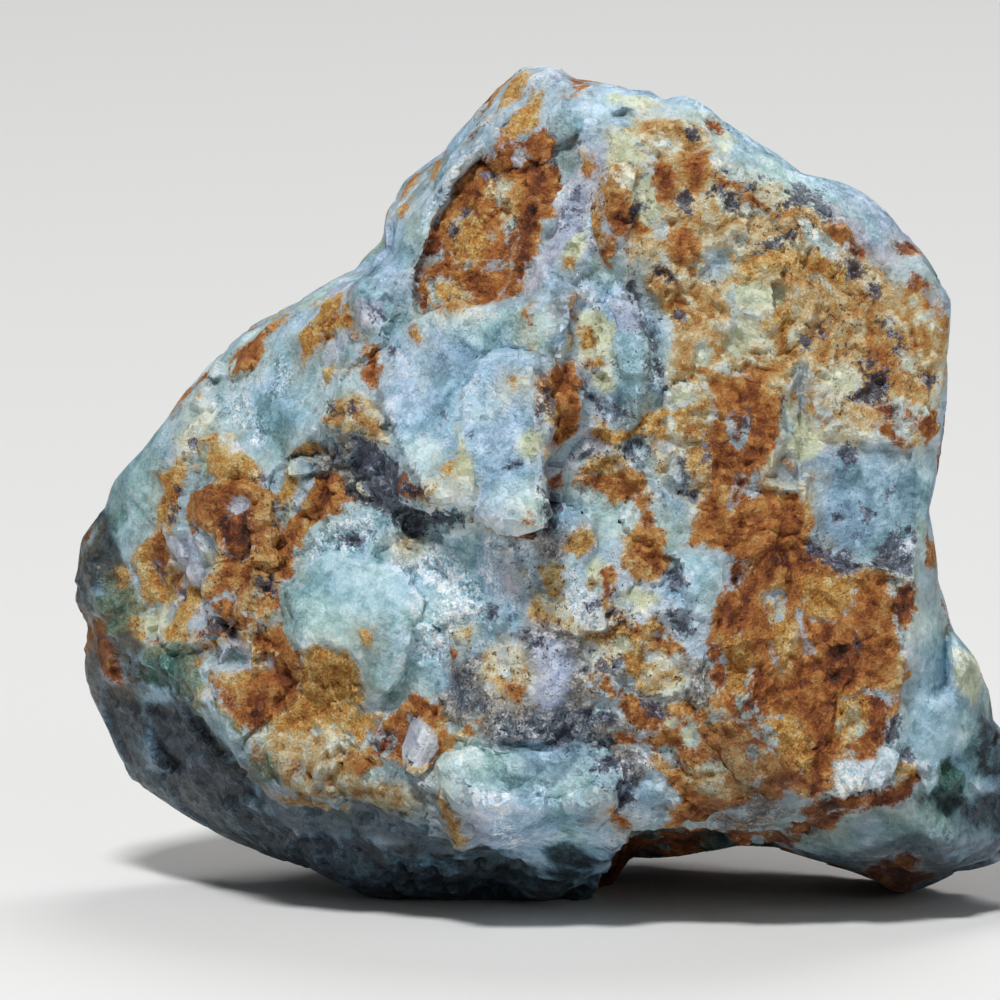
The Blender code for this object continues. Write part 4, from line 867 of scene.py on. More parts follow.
# The colours of each scale as they are seen, from its dark end to its light end, or from cream to black
OPAL_COLOURS = (
    (32, 46, 58), (54, 80, 98), (80, 118, 138), (108, 149, 170), (138, 176, 200), (166, 199, 224),
    (200, 222, 243), (244, 249, 255))
MINT_COLOURS = (
    (32, 58, 54), (62, 98, 92), (98, 138, 130), (132, 170, 160), (164, 200, 190), (194, 222, 212),
    (222, 239, 230), (246, 252, 246))
LILAC_COLOURS = (
    (42, 46, 68), (76, 82, 110), (114, 122, 152), (148, 157, 184), (180, 188, 210), (210, 216, 232),
    (240, 243, 252))
LIME_COLOURS = (
    (66, 66, 40), (108, 108, 62), (150, 150, 94), (188, 192, 138), (212, 218, 176), (234, 238, 212))
MOSS_COLOURS = ((14, 38, 36), (32, 70, 66), (62, 108, 100), (104, 148, 140), (158, 194, 186))
GRAVEL_COLOURS = (
    (28, 28, 36), (56, 58, 70), (92, 95, 108), (134, 130, 128), (170, 174, 184), (220, 226, 238))
CRUST_COLOURS = (
    (214, 220, 206), (214, 204, 172), (202, 178, 132), (190, 152, 94), (180, 126, 64), (164, 102, 46),
    (140, 78, 33), (110, 54, 22), (76, 37, 17), (40, 25, 17))
YELLOW_COLOURS = (
    (218, 204, 160), (206, 178, 114), (194, 152, 78), (178, 124, 52), (154, 95, 35), (116, 64, 23),
    (62, 38, 18))
DARK_COLOURS = ((18, 18, 22), (36, 37, 46), (60, 63, 78), (90, 95, 114), (132, 138, 156), (184, 192, 206))
SHADE_COLOUR = (38, 41, 42)
SPECK_COLOUR = (34, 33, 40)
STAIN_COLOUR = (206, 178, 118)
GLINT_COLOUR = (236, 236, 232)
# How fully each covers what lies under it
COVER = {
    "mint": 0.7, "lilac": 0.85, "lime": 0.75, "gravel": 0.85, "yellow": 0.8, "dark": 0.92, "specks": 0.85,
    "glints": 0.55, "shade": 0.8}
# Where each sets in and where it is full: pixels inside its border, or the height of its own noise
ONSET = {
    "moss": (0.3, 0.7), "gravel": (-6.0, 6.0), "stain": (-26.0, 2.0), "crust": (-3.0, 3.0),
    "dark": (-1.5, 2.5), "veins": (0.035, 0.0), "specks": (0.85, 1.1), "glints": (0.85, 1.25),
    "dull": (0.6, 0.95)}

# The finest grain. Lumps and grit: waves to the millimetre, detail and roughness of the noise
LUMPS = (3.0, 3.0, 0.7)
GRIT = (9.0, 2.0, 0.7)
# Flakes and chips: how many to the millimetre, and how far lumps and grit bend them, in millimetres
FLAKES_PER_MM = 3.3
CHIPS_PER_MM = 8.0
BENDING = 0.06
# The pixels that lumps and grit move a border by, and the darks' borders
BORDER_GRAIN = (5.5, 2.5)
DARK_GRAIN = (11.0, 4.0)
# How much each moves a place on the opal's scale, and on the crusts' one: at rest, and added where it is
# speckled
OPAL_LUMPS = 0.08
OPAL_GRIT = (0.12, 0.24)
OPAL_FLAKES = (0.15, 0.12)
OPAL_CHIPS = (0.08, 0.16)
CRUST_LUMPS = 0.10
CRUST_GRIT = (0.13, 0.20)
CRUST_FLAKES = 0.20
CRUST_CHIPS = (0.08, 0.14)
# Painted shade in hollows and painted light on crests: how much a full hollow darkens the opal and a full
# crest lightens it, how much more a crust, and how much its veins do
HOLLOW_SHADE = 0.14
HOLLOW_SHADE_IN_CRUST = 1.1
VEINS_IN_CRUST = 0.06
# The share of the grain and of the flakes' tilt that glassy opal lacks
GLASSY_CALM = 0.55
GLASSY_FLAT = 0.65
# How far the gravel's place on its scale is below the opal's, and how much fine grain and flakes move it
GRAVEL_DARKER = 0.18
GRAVEL_GRAIN = (0.2, 0.3)
# How much fine grain moves the moss's share, and the stain's strength at rest and with the fine grain
MOSS_GRAIN = 0.3
STAIN_STRENGTH = (0.25, 0.25)
# The middle of the darks' scale, and how much lumps, grit and flakes move a place on it
DARK_MIDDLE = 0.46
DARK_MOVED = (0.3, 0.4, 0.5)
# The noise of the specks is lumps less so much grit, with so much added in a crust and where grains lie
# thickly. That of the glints is grit less so much lumps, and so much less in a hollow.
SPECK_NOISE = (0.8, 0.15, 0.42)
GLINT_NOISE = (0.6, 0.3)
# The bumps: how steeply flakes tilt, and the height of lumps, of grit and of grit on what is coarse, in mm
FLAKE_TILT = 0.9
LUMP_HEIGHT = 0.04
GRIT_HEIGHT = (0.014, 0.035)
# How rough each is, and how strongly opal bends light
OPAL_ROUGHNESS = 0.40
FROST_ROUGHNESS = 0.70
CRUST_ROUGHNESS = 0.75
OPAL_REFRACTION = 1.45

# The floor: half its width in metres, its colour as light and its roughness
FLOOR_HALF_WIDTH = 1.5
FLOOR_COLOUR = (0.72, 0.72, 0.71, 1.0)
FLOOR_ROUGHNESS = 0.9
# Soft square lights: place in metres, width and power in watts, and the point that all are aimed at
LIGHTS = {
    "key_light": ((-0.14, -0.36, 0.68), 0.13, 5.3),
    "fill_light": ((0.50, -0.60, 0.35), 0.45, 0.8),
    "rim_light": ((0.10, 0.40, 0.55), 0.30, 1.8),
}
LIT_POINT = (0.0, 0.0, 0.019)
WORLD_COLOUR = (0.95, 0.97, 1.0, 1.0)
WORLD_BRIGHTNESS = 0.12
# The camera looks straight at the best face, a little from above, and takes in 1000 by 1000 pixels
IMAGE_PIXELS = 1000.0
CAMERA_DISTANCE = 1.2
SENSOR_WIDTH = 36.0
SIGHT_FROM_TO = (0.1, 10.0)


def smooth_step(low, high, value):
    """0 below low, 1 above high, and an S curve between them."""
    part = np.clip((value - low) / (high - low), 0.0, 1.0)
    return part * part * (3.0 - 2.0 * part)


def cell_value(cell, seed):
    """A repeatable scattered number from 0 to 1 for each whole-numbered cell of a grid.

    The cell's three numbers and the seed are multiplied by large odd numbers, added and mixed bit by bit.
    """
    across, deep, high, last = SCATTERING
    first_shift, second_shift, third_shift = BIT_SHIFTS
    x, y, z = (cell[:, axis].astype(np.uint32) for axis in range(3))
    mixed = x * np.uint32(across) + y * np.uint32(deep) + z * np.uint32(high)
    mixed = mixed + np.uint32(seed * last % ALL_BITS)
    mixed = (mixed ^ (mixed >> np.uint32(first_shift))) * np.uint32(high)
    mixed = (mixed ^ (mixed >> np.uint32(second_shift))) * np.uint32(last)
    return (mixed ^ (mixed >> np.uint32(third_shift))) / float(ALL_BITS)


def odd_turned(points, seed):
    """The points turned round two axes by odd angles of the seed's own, so that no two grids line up."""
    turn = FIRST_TURN[0] + FIRST_TURN[1] * seed
    tip = SECOND_TURN[0] + SECOND_TURN[1] * seed
    turned = np.array((
        (math.cos(turn), -math.sin(turn), 0.0),
        (math.sin(turn), math.cos(turn), 0.0),
        (0.0, 0.0, 1.0)))
    tipped = np.array((
        (1.0, 0.0, 0.0),
        (0.0, math.cos(tip), -math.sin(tip)),
        (0.0, math.sin(tip), math.cos(tip))))
    return points @ (turned @ tipped)


def facets(points, size, seed):
    """Flat facets from -1 to 1: scattered heights on a grid, joined across six wedges in each cell."""
    scaled = odd_turned(points, seed) / size + FACETS_APART * seed
    corner = np.floor(scaled).astype(np.int64)
    part = scaled - corner
    order = np.argsort(-part, axis=1)
    share = np.take_along_axis(part, order, axis=1)
    share = np.concatenate([share, np.zeros((len(points), 1))], axis=1)
    height = (1.0 - share[:, 0]) * cell_value(corner, seed)
    rows = np.arange(len(points))
    for step in range(3):
        corner[rows, order[:, step]] += 1
        height += (share[:, step] - share[:, step + 1]) * cell_value(corner, seed)
    return 2.0 * height - 1.0


def soft_noise(points, size, seed):
    """Rounded lumps from -1 to 1: scattered heights on a grid, joined by S curves."""
    scaled = odd_turned(points, seed) / size + NOISE_APART * seed
    corner = np.floor(scaled).astype(np.int64)
    part = smooth_step(0.0, 1.0, scaled - corner)
    height = np.zeros(len(points))
    for step in np.ndindex(2, 2, 2):
        share = np.prod(np.where(step, part, 1.0 - part), axis=1)
        height += share * cell_value(corner + np.array(step), seed)
    return 2.0 * height - 1.0


def flakes(points, size, seed):
    """Flat flakes: the distance along each one's odd tilt from its middle, and an odd tone from 0 to 1.

    The points of a grid are each moved by an odd amount, and a flake is all that lies nearest to one of them.
    """
    scaled = odd_turned(points, seed) / size + FLAKES_APART * seed
    corner = np.floor(scaled).astype(np.int64)
    nearest = np.full(len(points), np.inf)
    tilted = np.zeros(len(points))
    tone = np.zeros(len(points))
    for step in np.ndindex(3, 3, 3):
        cell = corner + np.array(step) - 1
        odd = np.stack([cell_value(cell, seed + turn) for turn in range(3)], axis=1)
        gap = scaled - cell - odd
        distance = (gap ** 2).sum(axis=1)
        nearer = distance < nearest
        nearest[nearer] = distance[nearer]
        cell = cell[nearer]
        tilt = np.stack([cell_value(cell, seed + TILT_SEED + turn) for turn in range(3)], axis=1) * 2.0 - 1.0
        tilted[nearer] = (gap[nearer] * tilt).sum(axis=1)
        tone[nearer] = cell_value(cell, seed + TONE_SEED)
    return tilted * size, tone


def layered(kinds, points):
    """The sum of soft noises, each of its own size, height and seed."""
    return sum(height * soft_noise(points, size, seed) for size, height, seed in kinds)


def shaken(points, size, amount, seed):
    """The points moved along each axis by soft noise of its own, so that straight borders run crooked."""
    shift = np.stack([soft_noise(points, size, seed + axis) for axis in range(3)], axis=1)
    return points + amount * shift


def from_pixels(pixel_x, pixel_y):
    """Across and rise in millimetres from the heart."""
    return (pixel_x - HEART_PIXEL[0]) / PIXELS_PER_MM, (HEART_PIXEL[1] - pixel_y) / PIXELS_PER_MM


def to_pixels(face):
    """The pixels at which points of the face frame are read."""
    return np.stack([
        HEART_PIXEL[0] + face[:, 0] * PIXELS_PER_MM,
        HEART_PIXEL[1] - face[:, 1] * PIXELS_PER_MM], axis=1)


def around(angle, readings, values):
    """Values read along a closed outline, joined by straight runs of the angle round the heart."""
    across, rise = from_pixels(readings[:, 0], readings[:, 1])
    turn = np.arctan2(rise, across)
    return np.interp(angle, turn, np.hypot(across, rise) if values is None else values,
                     period=2.0 * math.pi)


def outline_at(angle):
    """How far the outline lies from the heart's line of sight at an angle, and its depth there."""
    readings = np.array(OUTLINE)
    return around(angle, readings, None), around(angle, readings, readings[:, 2])


def outline_round(face):
    """The outline's distance and depth at the angle of each point of the face frame."""
    return outline_at(np.arctan2(face[:, 1], face[:, 0]))


def plane_limit(rays, plane, side):
    """How far each ray goes before it meets a plane: its room along the depth over its closing speed.

    The side is 1 for a front face and -1 for a back one.
    """
    pixel_x, pixel_y, depth, growth_across, growth_up = plane
    across, rise = from_pixels(pixel_x, pixel_y)
    room = side * (HEART_DEPTH - depth + growth_across * across + growth_up * rise)
    closing = -side * (rays[:, 2] - growth_across * rays[:, 0] - growth_up * rays[:, 1])
    return room / np.maximum(closing, TINY)


def wall_limits(rays):
    """How far each ray goes before it meets the walls before and behind the outline.

    Both are cones round the line of sight. The first draws in towards the front, and the second towards the
    outline of the back.
    """
    angle = np.arctan2(rays[:, 1], rays[:, 0])
    level = np.hypot(rays[:, 0], rays[:, 1])
    reach, depth = outline_at(angle)
    ahead = depth - HEART_DEPTH
    drawing_in = (reach - around(angle, np.array(REAR_OUTLINE), None)) / (REAR_DEPTH - depth)
    before = (reach - DRAWING_IN_BEFORE * ahead) / np.maximum(level - DRAWING_IN_BEFORE * rays[:, 2], TINY)
    behind = (reach + drawing_in * ahead) / np.maximum(level + drawing_in * rays[:, 2], TINY)
    return [before, behind]


def rounded_least(limits):
    """The least of the limits along each ray, a little less where two of them are nearly equal.

    It is divided by a root of the summed powers of its ratio to each of them.
    """
    least = limits.min(axis=0)
    return least * ((least / limits) ** EDGE_SHARPNESS).sum(axis=0) ** (-1.0 / EDGE_SHARPNESS)


def lump_reach(rays, own_faces):
    """How far each ray goes inside one of the two lumps."""
    limits = wall_limits(rays)
    limits += [plane_limit(rays, plane, 1.0) for plane in SHARED_FACES.values()]
    limits += [plane_limit(rays, plane, 1.0) for plane in own_faces.values()]
    limits += [plane_limit(rays, plane, -1.0) for plane in BACK_FACES.values()]
    return rounded_least(np.stack(limits))


def ray_reach(rays):
    """How far each ray goes inside the two lumps together, with the valley between them rounded."""
    block = lump_reach(rays, BLOCK_FACES)
    left = lump_reach(rays, LEFT_FACES)
    farther = np.maximum(block, left)
    nearer = np.minimum(block, left)
    return farther * (1.0 + (nearer / farther) ** VALLEY_SHARPNESS) ** (1.0 / VALLEY_SHARPNESS)


def ray_at(turn, tip):
    """The ray at a turn round the line of sight and a tip away from it: the point at 1 mm on it."""
    return np.stack([np.cos(turn) * np.sin(tip), np.sin(turn) * np.sin(tip), -np.cos(tip)], axis=-1)


def widened(face, angle):
    """The points moved out near the rim, so that the widest of them lie on the outline.

    The growth fades inwards with a power of their distance from the line of sight.
    """
    turns = np.linspace(-math.pi, math.pi, STEPS_ROUND, endpoint=False)
    tips = np.linspace(0.0, math.pi, STEPS_BACK + 2)[1:-1]
    turn, tip = np.meshgrid(turns, tips, indexing="ij")
    reach = ray_reach(ray_at(turn, tip).reshape(-1, 3)).reshape(turn.shape)
    widest = (reach * np.sin(tip)).max(axis=1)
    widening = np.interp(angle, turns, outline_at(turns)[0] / widest, period=2.0 * math.pi)
    widest = np.interp(angle, turns, widest, period=2.0 * math.pi)
    inner = np.clip(np.hypot(face[:, 0], face[:, 1]) / widest, 0.0, 1.0)
    face[:, :2] *= (1.0 + (widening - 1.0) * inner ** WIDENING_POWER)[:, None]
    return face


def run_distance(pixel, start, end):
    """The distance in pixels from the nearest point of one straight run."""
    run = end - start
    part = np.clip(((pixel - start) @ run) / (run @ run), 0.0, 1.0)
    gap = pixel - start - part[:, None] * run
    return np.hypot(gap[:, 0], gap[:, 1])


def line_distance(pixel, corners):
    """The least of the distances in pixels from the runs of a bent line."""
    corners = np.array(corners, dtype=float)
    runs = [run_distance(pixel, start, end) for start, end in zip(corners[:-1], corners[1:])]
    return np.min(runs, axis=0)


def inside_distance(pixel, corners):
    """The distance in pixels from a closed border, less than 0 outside it.

    Inside, a level line to the right crosses the border an odd number of times.
    """
    corners = np.array(corners, dtype=float)
    nearest = np.full(len(pixel), np.inf)
    crossings = np.zeros(len(pixel), dtype=int)
    for start, end in zip(corners, np.roll(corners, -1, axis=0)):
        nearest = np.minimum(nearest, run_distance(pixel, start, end))
        spans = (start[1] <= pixel[:, 1]) != (end[1] <= pixel[:, 1])
        drop = end[1] - start[1] if end[1] != start[1] else TINY
        crossed_at = start[0] + (pixel[:, 1] - start[1]) / drop * (end[0] - start[0])
        crossings += spans & (pixel[:, 0] < crossed_at)
    return np.where(crossings % 2 == 1, nearest, -nearest)


def oval_place(pixel, oval):
    """Where points lie in an oval, along and athwart it, in its own half widths from its middle."""
    middle_x, middle_y, half_width, half_height, turn = oval
    cos_turn, sin_turn = math.cos(math.radians(turn)), math.sin(math.radians(turn))
    right = pixel[:, 0] - middle_x
    down = pixel[:, 1] - middle_y
    along = (right * cos_turn + down * sin_turn) / half_width
    athwart = (down * cos_turn - right * sin_turn) / half_height
    return along, athwart


def spot_distance(pixel, spot):
    """Roughly the distance in pixels from the border of an oval, less than 0 outside it."""
    along, athwart = oval_place(pixel, spot)
    return (1.0 - np.hypot(along, athwart)) * min(spot[2:4])


def relief(pixel):
    """The height of the terraces, domes and lines over the broken face, in millimetres.

    A terrace is a sloping plane inside its border, a dome falls off with the squared distance from its
    middle, and a line is a bell curve across it.
    """
    height = np.zeros(len(pixel))
    for corners, place, level, growth_across, growth_up, border in TERRACES.values():
        half_border = border * BORDER_SHARE / 2.0
        inside = smooth_step(-half_border, half_border, inside_distance(pixel, corners))
        across = (pixel[:, 0] - place[0]) / PIXELS_PER_MM
        rise = (place[1] - pixel[:, 1]) / PIXELS_PER_MM
        height += inside * (level + growth_across * across + growth_up * rise)
    for *oval, level in DOMES.values():
        along, athwart = oval_place(pixel, oval)
        height += level * np.clip(1.0 - along ** 2 - athwart ** 2, 0.0, 1.0) ** DOME_POWER
    for corners, half_width, level in LINES.values():
        height += level * np.exp(-(line_distance(pixel, corners) / half_width) ** 2)
    return height


def with_relief(face):
    """The points of the face moved along the depth by the relief, which fades out at the rim."""
    outline, depth = outline_round(face)
    margin = outline - np.hypot(face[:, 0], face[:, 1])
    seen_share = smooth_step(*RELIEF_BEHIND, depth - face[:, 2]) * smooth_step(0.0, RELIEF_FADE, margin)
    crooked = face
    for size, amount, seed in RELIEF_CROOKEDNESS:
        crooked = shaken(crooked, size, amount, seed)
    face[:, 2] -= relief(to_pixels(crooked)) * seen_share
    return face


def crooked_facets(face, from_rim, kind):
    """The height of one kind of facets, whose edges run crooked and which is lower at the rim."""
    size, height, crooked_size, crooked_amount, left_at_rim, seed = kind
    share = left_at_rim + (1.0 - left_at_rim) * from_rim
    return share * height * facets(shaken(face, crooked_size, crooked_amount, seed), size, seed + NEXT_SEED)


def with_facets(face, rays):
    """The points moved along their rays by the facets."""
    outline, depth = outline_round(face)
    margin = outline - np.hypot(face[:, 0], face[:, 1])
    behind = face[:, 2] - depth
    from_rim = smooth_step(0.0, FACET_FADE, np.maximum(margin, behind))
    height = crooked_facets(face, smooth_step(0.0, LARGE_FACETS_BEHIND, behind), LARGE_FACETS)
    height += crooked_facets(face, from_rim, MIDDLE_FACETS)
    height += crooked_facets(face, from_rim, SMALL_FACETS)
    return face + rays * height[:, None]


def held_in_outline(face):
    """What stands out past the outline is drawn back most of the way."""
    reach = np.hypot(face[:, 0], face[:, 1])
    excess = np.maximum(reach - outline_round(face)[0], 0.0)
    face[:, :2] *= (1.0 - SHARE_DRAWN_BACK * excess / np.maximum(reach, TINY))[:, None]
    return face


def to_part(face):
    """From the face frame to the part's own, still in millimetres: leant back and moved to the heart."""
    across, rise, depth = face.T
    lean_cos, lean_sin = math.cos(FACE_LEAN), math.sin(FACE_LEAN)
    back = depth * lean_cos + rise * lean_sin
    up = rise * lean_cos - depth * lean_sin
    return np.stack([across, back, up], axis=1) + np.array(HEART_PLACE)


def cube_sphere(cells):
    """Six grids that share their borders: points of the cube's surface and the quads between them."""
    steps = np.arange(cells + 1)
    first, second = np.meshgrid(steps, steps, indexing="ij")
    first = first.ravel()
    second = second.ravel()
    corners = []
    for axis in range(3):
        for end in (0, cells):
            grid = np.empty((first.size, 3), dtype=np.int64)
            grid[:, axis] = end
            grid[:, (axis + 1) % 3] = first if end else second
            grid[:, (axis + 2) % 3] = second if end else first
            corners.append(grid)
    points, place = np.unique(np.concatenate(corners), axis=0, return_inverse=True)
    place = place.ravel()
    start = (np.arange(cells)[:, None] * (cells + 1) + np.arange(cells)[None, :]).ravel()
    quads = []
    for side in range(CUBE_SIDES):
        shift = side * (cells + 1) ** 2
        quads.append(np.stack([start, start + 1, start + cells + 2, start + cells + 1], axis=1) + shift)
    return points * (2.0 / cells) - 1.0, place[np.concatenate(quads)]


def spread_rays(points):
    """The rays through the points of a cube, drawn closer together on the face than on the back.

    Each ray keeps its turn round the line of sight. Its tip from the line of sight becomes the one at which
    the same share of a box's profile has been passed, each stretch of it weighed by how close its rays stand.
    """
    rays = np.tan(points * (math.pi / 4.0))
    rays /= np.linalg.norm(rays, axis=1, keepdims=True)
    front, half_width, back = SPACING_BOX
    tips = np.linspace(0.0, math.pi, SPACING_STEPS)
    end_depth = np.where(tips < math.pi / 2.0, front, back) / np.maximum(np.abs(np.cos(tips)), TINY)
    reach = np.minimum(half_width / np.maximum(np.sin(tips), TINY), end_depth)
    stretch = np.hypot(np.diff(reach * np.sin(tips)), np.diff(reach * np.cos(tips)))
    on_front = tips[1:] < math.atan2(half_width, front)
    on_side = tips[1:] < math.pi - math.atan2(half_width, back)
    share = np.where(on_front, SPACING_SHARES[0], np.where(on_side, SPACING_SHARES[1], SPACING_SHARES[2]))
    passed = np.concatenate([[0.0], np.cumsum(stretch * share)])
    tip = np.interp(np.arccos(np.clip(-rays[:, 2], -1.0, 1.0)), passed * (math.pi / passed[-1]), tips)
    return ray_at(np.arctan2(rays[:, 1], rays[:, 0]), tip)


def outline_of(numbers):
    """The corners of an outline from their across and down in turn."""
    return np.reshape(numbers, (-1, 2))


def rows_near(pixel, corners, margin):
    """Which points lie in an outline's box, widened by a margin."""
    return np.nonzero(np.all(
        (pixel > np.min(corners, axis=0) - margin) & (pixel < np.max(corners, axis=0) + margin), axis=1))[0]


def lay_over(inside, kind, rows, distance):
    """Lays a patch over the ones before it: its own kind grows to its border, and all others stop there.

    Only the dark spots leave the others as they are, as they grow on top of them.
    """
    for other in KINDS:
        if other == kind:
            inside[other][rows] = np.maximum(inside[other][rows], distance)
        elif kind != "dark":
            inside[other][rows] = np.minimum(inside[other][rows], -distance)


def share_behind(face):
    """0 on the best face and 1 on the sides and back, with an S curve a little behind the outline."""
    return smooth_step(*BACK_STARTS, face[:, 2] - outline_round(face)[1])


def within_any(face, areas, fade):
    """How far each point of the face lies within any of the areas, from 0 to 1, faded over their edges."""
    pixel = to_pixels(face)
    share = np.zeros(len(face))
    for numbers in areas:
        share = np.maximum(share, smooth_step(-fade, fade, inside_distance(pixel, outline_of(numbers))))
    return share * (1.0 - share_behind(face))


def none_yet(count):
    """For each kind, so many points that lie far outside its border."""
    return {kind: np.full(count, -FAR_FROM_BORDER) for kind in KINDS}


def kinds_on_face(pixel):
    """How far each point lies inside the border of each kind on the best face, in pixels."""
    inside = none_yet(len(pixel))
    for kind, *numbers in PATCHES:
        corners = outline_of(numbers)
        rows = rows_near(pixel, corners, FAR_FROM_BORDER)
        if len(rows):
            lay_over(inside, kind, rows, inside_distance(pixel[rows], corners))
    for kind, spots in SPOTS.items():
        for spot in spots:
            near = np.abs(pixel - spot[:2]).max(axis=1) < max(spot[2:4]) + FAR_FROM_BORDER
            rows = np.nonzero(near)[0]
            if len(rows):
                lay_over(inside, kind, rows, spot_distance(pixel[rows], spot))
    return inside


def kinds_elsewhere(crooked):
    """The same on the sides, back and underside, from noise, and from the height over the floor for painted
    shade.
    """
    inside = none_yet(len(crooked))
    rows = np.arange(len(crooked))
    for kind, size, level, slope, seed in SCATTERED:
        lay_over(inside, kind, rows, slope * (soft_noise(crooked, size, seed) - level))
    part_height = to_part(crooked)[:, 2]
    for kind, top, slope, size, level, seed in UNDERSIDE:
        lay_over(inside, kind, rows, slope * (top - part_height) + level * soft_noise(crooked, size, seed))
    return inside


def kinds_at(face, steep):
    """How far each point lies inside the border of each kind, in pixels, less than 0 outside it."""
    size, amount, seed = WANDERING
    crooked = face + (shaken(face, size, amount, seed) - face) * steep[:, None]
    for size, amount, seed in PATCH_CROOKEDNESS:
        crooked = shaken(crooked, size, amount, seed)
    on_face = kinds_on_face(to_pixels(crooked))
    elsewhere = kinds_elsewhere(crooked)
    back = share_behind(face)
    return {
        kind: (1.0 - back) * on_face[kind].clip(-FAR_FROM_BORDER, FAR_FROM_BORDER)
        + back * elsewhere[kind].clip(-FAR_FROM_BORDER, FAR_FROM_BORDER)
        for kind in KINDS}


def fine_relief(face, inside):
    """The height in millimetres of the fine facets, flakes and crumbs, and the mean tone of the flakes."""
    height = np.zeros(len(face))
    for kind in FINE_FACETS:
        height += crooked_facets(face, 1.0, kind)
    crust = smooth_step(*CRUST_BORDER, np.max([inside[kind] for kind in (*CRUSTS, "gravel", "moss")], axis=0))
    rough = np.ones(len(face))
    for kind, left in SMOOTHER.items():
        rough += smooth_step(*SMOOTHER_BORDER, inside[kind]) * (left - rough)
    flat = within_any(face, [numbers for _, _, *numbers in FLAT_FACES], CALM_FADE)
    tone = np.zeros(len(face))
    for size, tilt, crust_tilt, left_on_flat, crookedness, seed in FLAKES:
        tilted, odd = flakes(shaken(face, size, crookedness * size, seed), size, seed + NEXT_SEED)
        bare_tilt = tilt * rough * (1.0 - (1.0 - left_on_flat) * flat)
        height += (bare_tilt + crust * (crust_tilt - bare_tilt)) * tilted
        tone += (odd - 0.5) * 2.0 / len(FLAKES)
    for size, level, seed in CRUMBS:
        height += crust * level * soft_noise(face, size, seed)
    across, along, level, seed = FIBRES
    fibrous = np.stack([face[:, 0] / across, face[:, 1] / along, face[:, 2] / across], axis=1)
    height += smooth_step(*FIBRE_BORDER, inside["rust"]) * level * soft_noise(fibrous, 1.0, seed)
    height += crust * CRUST_THICKNESS
    pixel = to_pixels(shaken(face, *LEDGE_CROOKEDNESS))
    ahead = 1.0 - share_behind(face)
    for level, border, *numbers in LEDGES:
        corners = outline_of(numbers)
        rows = rows_near(pixel, corners, border)
        edge = smooth_step(-border / 2.0, border / 2.0, inside_distance(pixel[rows], corners))
        height[rows] += level * edge * ahead[rows]
    height -= smooth_step(*DARK_BORDER, inside["dark"]) * DARK_DEPTH
    outline, depth = outline_round(face)
    margin = np.maximum(outline - np.hypot(face[:, 0], face[:, 1]), face[:, 2] - depth)
    return height * (LEFT_AT_RIM + (1.0 - LEFT_AT_RIM) * smooth_step(0.0, FACET_FADE, margin)), tone


def with_flat_faces(face):
    """The points inside each flat face moved along the depth towards the plane that fits them best."""
    pixel = to_pixels(shaken(face, *LEDGE_CROOKEDNESS))
    ahead = 1.0 - share_behind(face)
    for share, border, *numbers in FLAT_FACES:
        corners = outline_of(numbers)
        rows = rows_near(pixel, corners, border)
        rows = rows[ahead[rows] > 0.0]
        distance = inside_distance(pixel[rows], corners)
        level = np.column_stack([np.ones(len(rows)), face[rows, :2]])
        within = distance > 0.0
        plane = np.linalg.lstsq(level[within], face[rows[within], 2], rcond=None)[0]
        moved = share * smooth_step(-border / 2.0, border / 2.0, distance) * ahead[rows]
        face[rows, 2] += moved * (level @ plane - face[rows, 2])
    return face


def gathered(values, quads, count):
    """The sum at each of so many points of the values that its quads carry at that corner."""
    total = np.zeros((count,) + values.shape[2:])
    for step in range(CORNERS):
        np.add.at(total, quads[:, step], values[:, step])
    return total


def outward(points, quads):
    """The direction out of the surface at each point of the face frame: the mean of its quads' normals."""
    corner = points[quads]
    normal = np.cross(corner[:, 3] - corner[:, 1], corner[:, 2] - corner[:, 0])
    normals = gathered(np.repeat(normal[:, None], CORNERS, axis=1), quads, len(points))
    return normals / np.linalg.norm(normals, axis=1, keepdims=True)


def hollowness(points, quads):
    """How far each point lies below the mean of its neighbours, along its normal, in millimetres."""
    corner = points[quads]
    total = gathered(np.roll(corner, -1, axis=1) + np.roll(corner, 1, axis=1), quads, len(points))
    count = gathered(np.full(quads.shape, 2.0), quads, len(points))
    return np.einsum("ij,ij->i", total / count[:, None] - points, -outward(points, quads))


def smoothed_over(values, quads):
    """Each point's value replaced by the mean over its quads."""
    mean = np.repeat(values[quads].mean(axis=1)[:, None], CORNERS, axis=1)
    return gathered(mean, quads, len(values)) / gathered(np.ones(quads.shape), quads, len(values))


def stood_on_floor(points):
    """What would lie under the floor is moved up to it, along the line to the heart."""
    heart = np.array(HEART_PLACE)
    share = heart[2] / np.maximum(heart[2] - points[:, 2], heart[2])
    return heart + (points - heart) * share[:, None]


def stone_surface(rays, quads):
    """What the surface is like where each ray meets it.

    The point in millimetres in the part's own frame, how far it lies inside each kind, the tone of its
    flakes, and how thickly black grains lie and how much shade is painted there, both from 0 to 1.
    """
    face = rays * ray_reach(rays)[:, None]
    face[:, 2] += HEART_DEPTH
    face = widened(face, np.arctan2(rays[:, 1], rays[:, 0]))
    face = with_relief(face)
    face = with_flat_faces(with_facets(face, rays))
    steep = smooth_step(*STEEPNESS, 1.0 - np.abs(outward(face, quads)[:, 2]))
    inside = kinds_at(face, steep)
    pepper = within_any(face, PEPPERED, PEPPER_FADE)
    painted_shade = within_any(face, PAINTED_SHADE_AREAS, PAINTED_SHADE_FADE)
    height, flake_tone = fine_relief(face, inside)
    face = face + outward(face, quads) * height[:, None]
    return stood_on_floor(to_part(held_in_outline(face))), inside, flake_tone, pepper, painted_shade


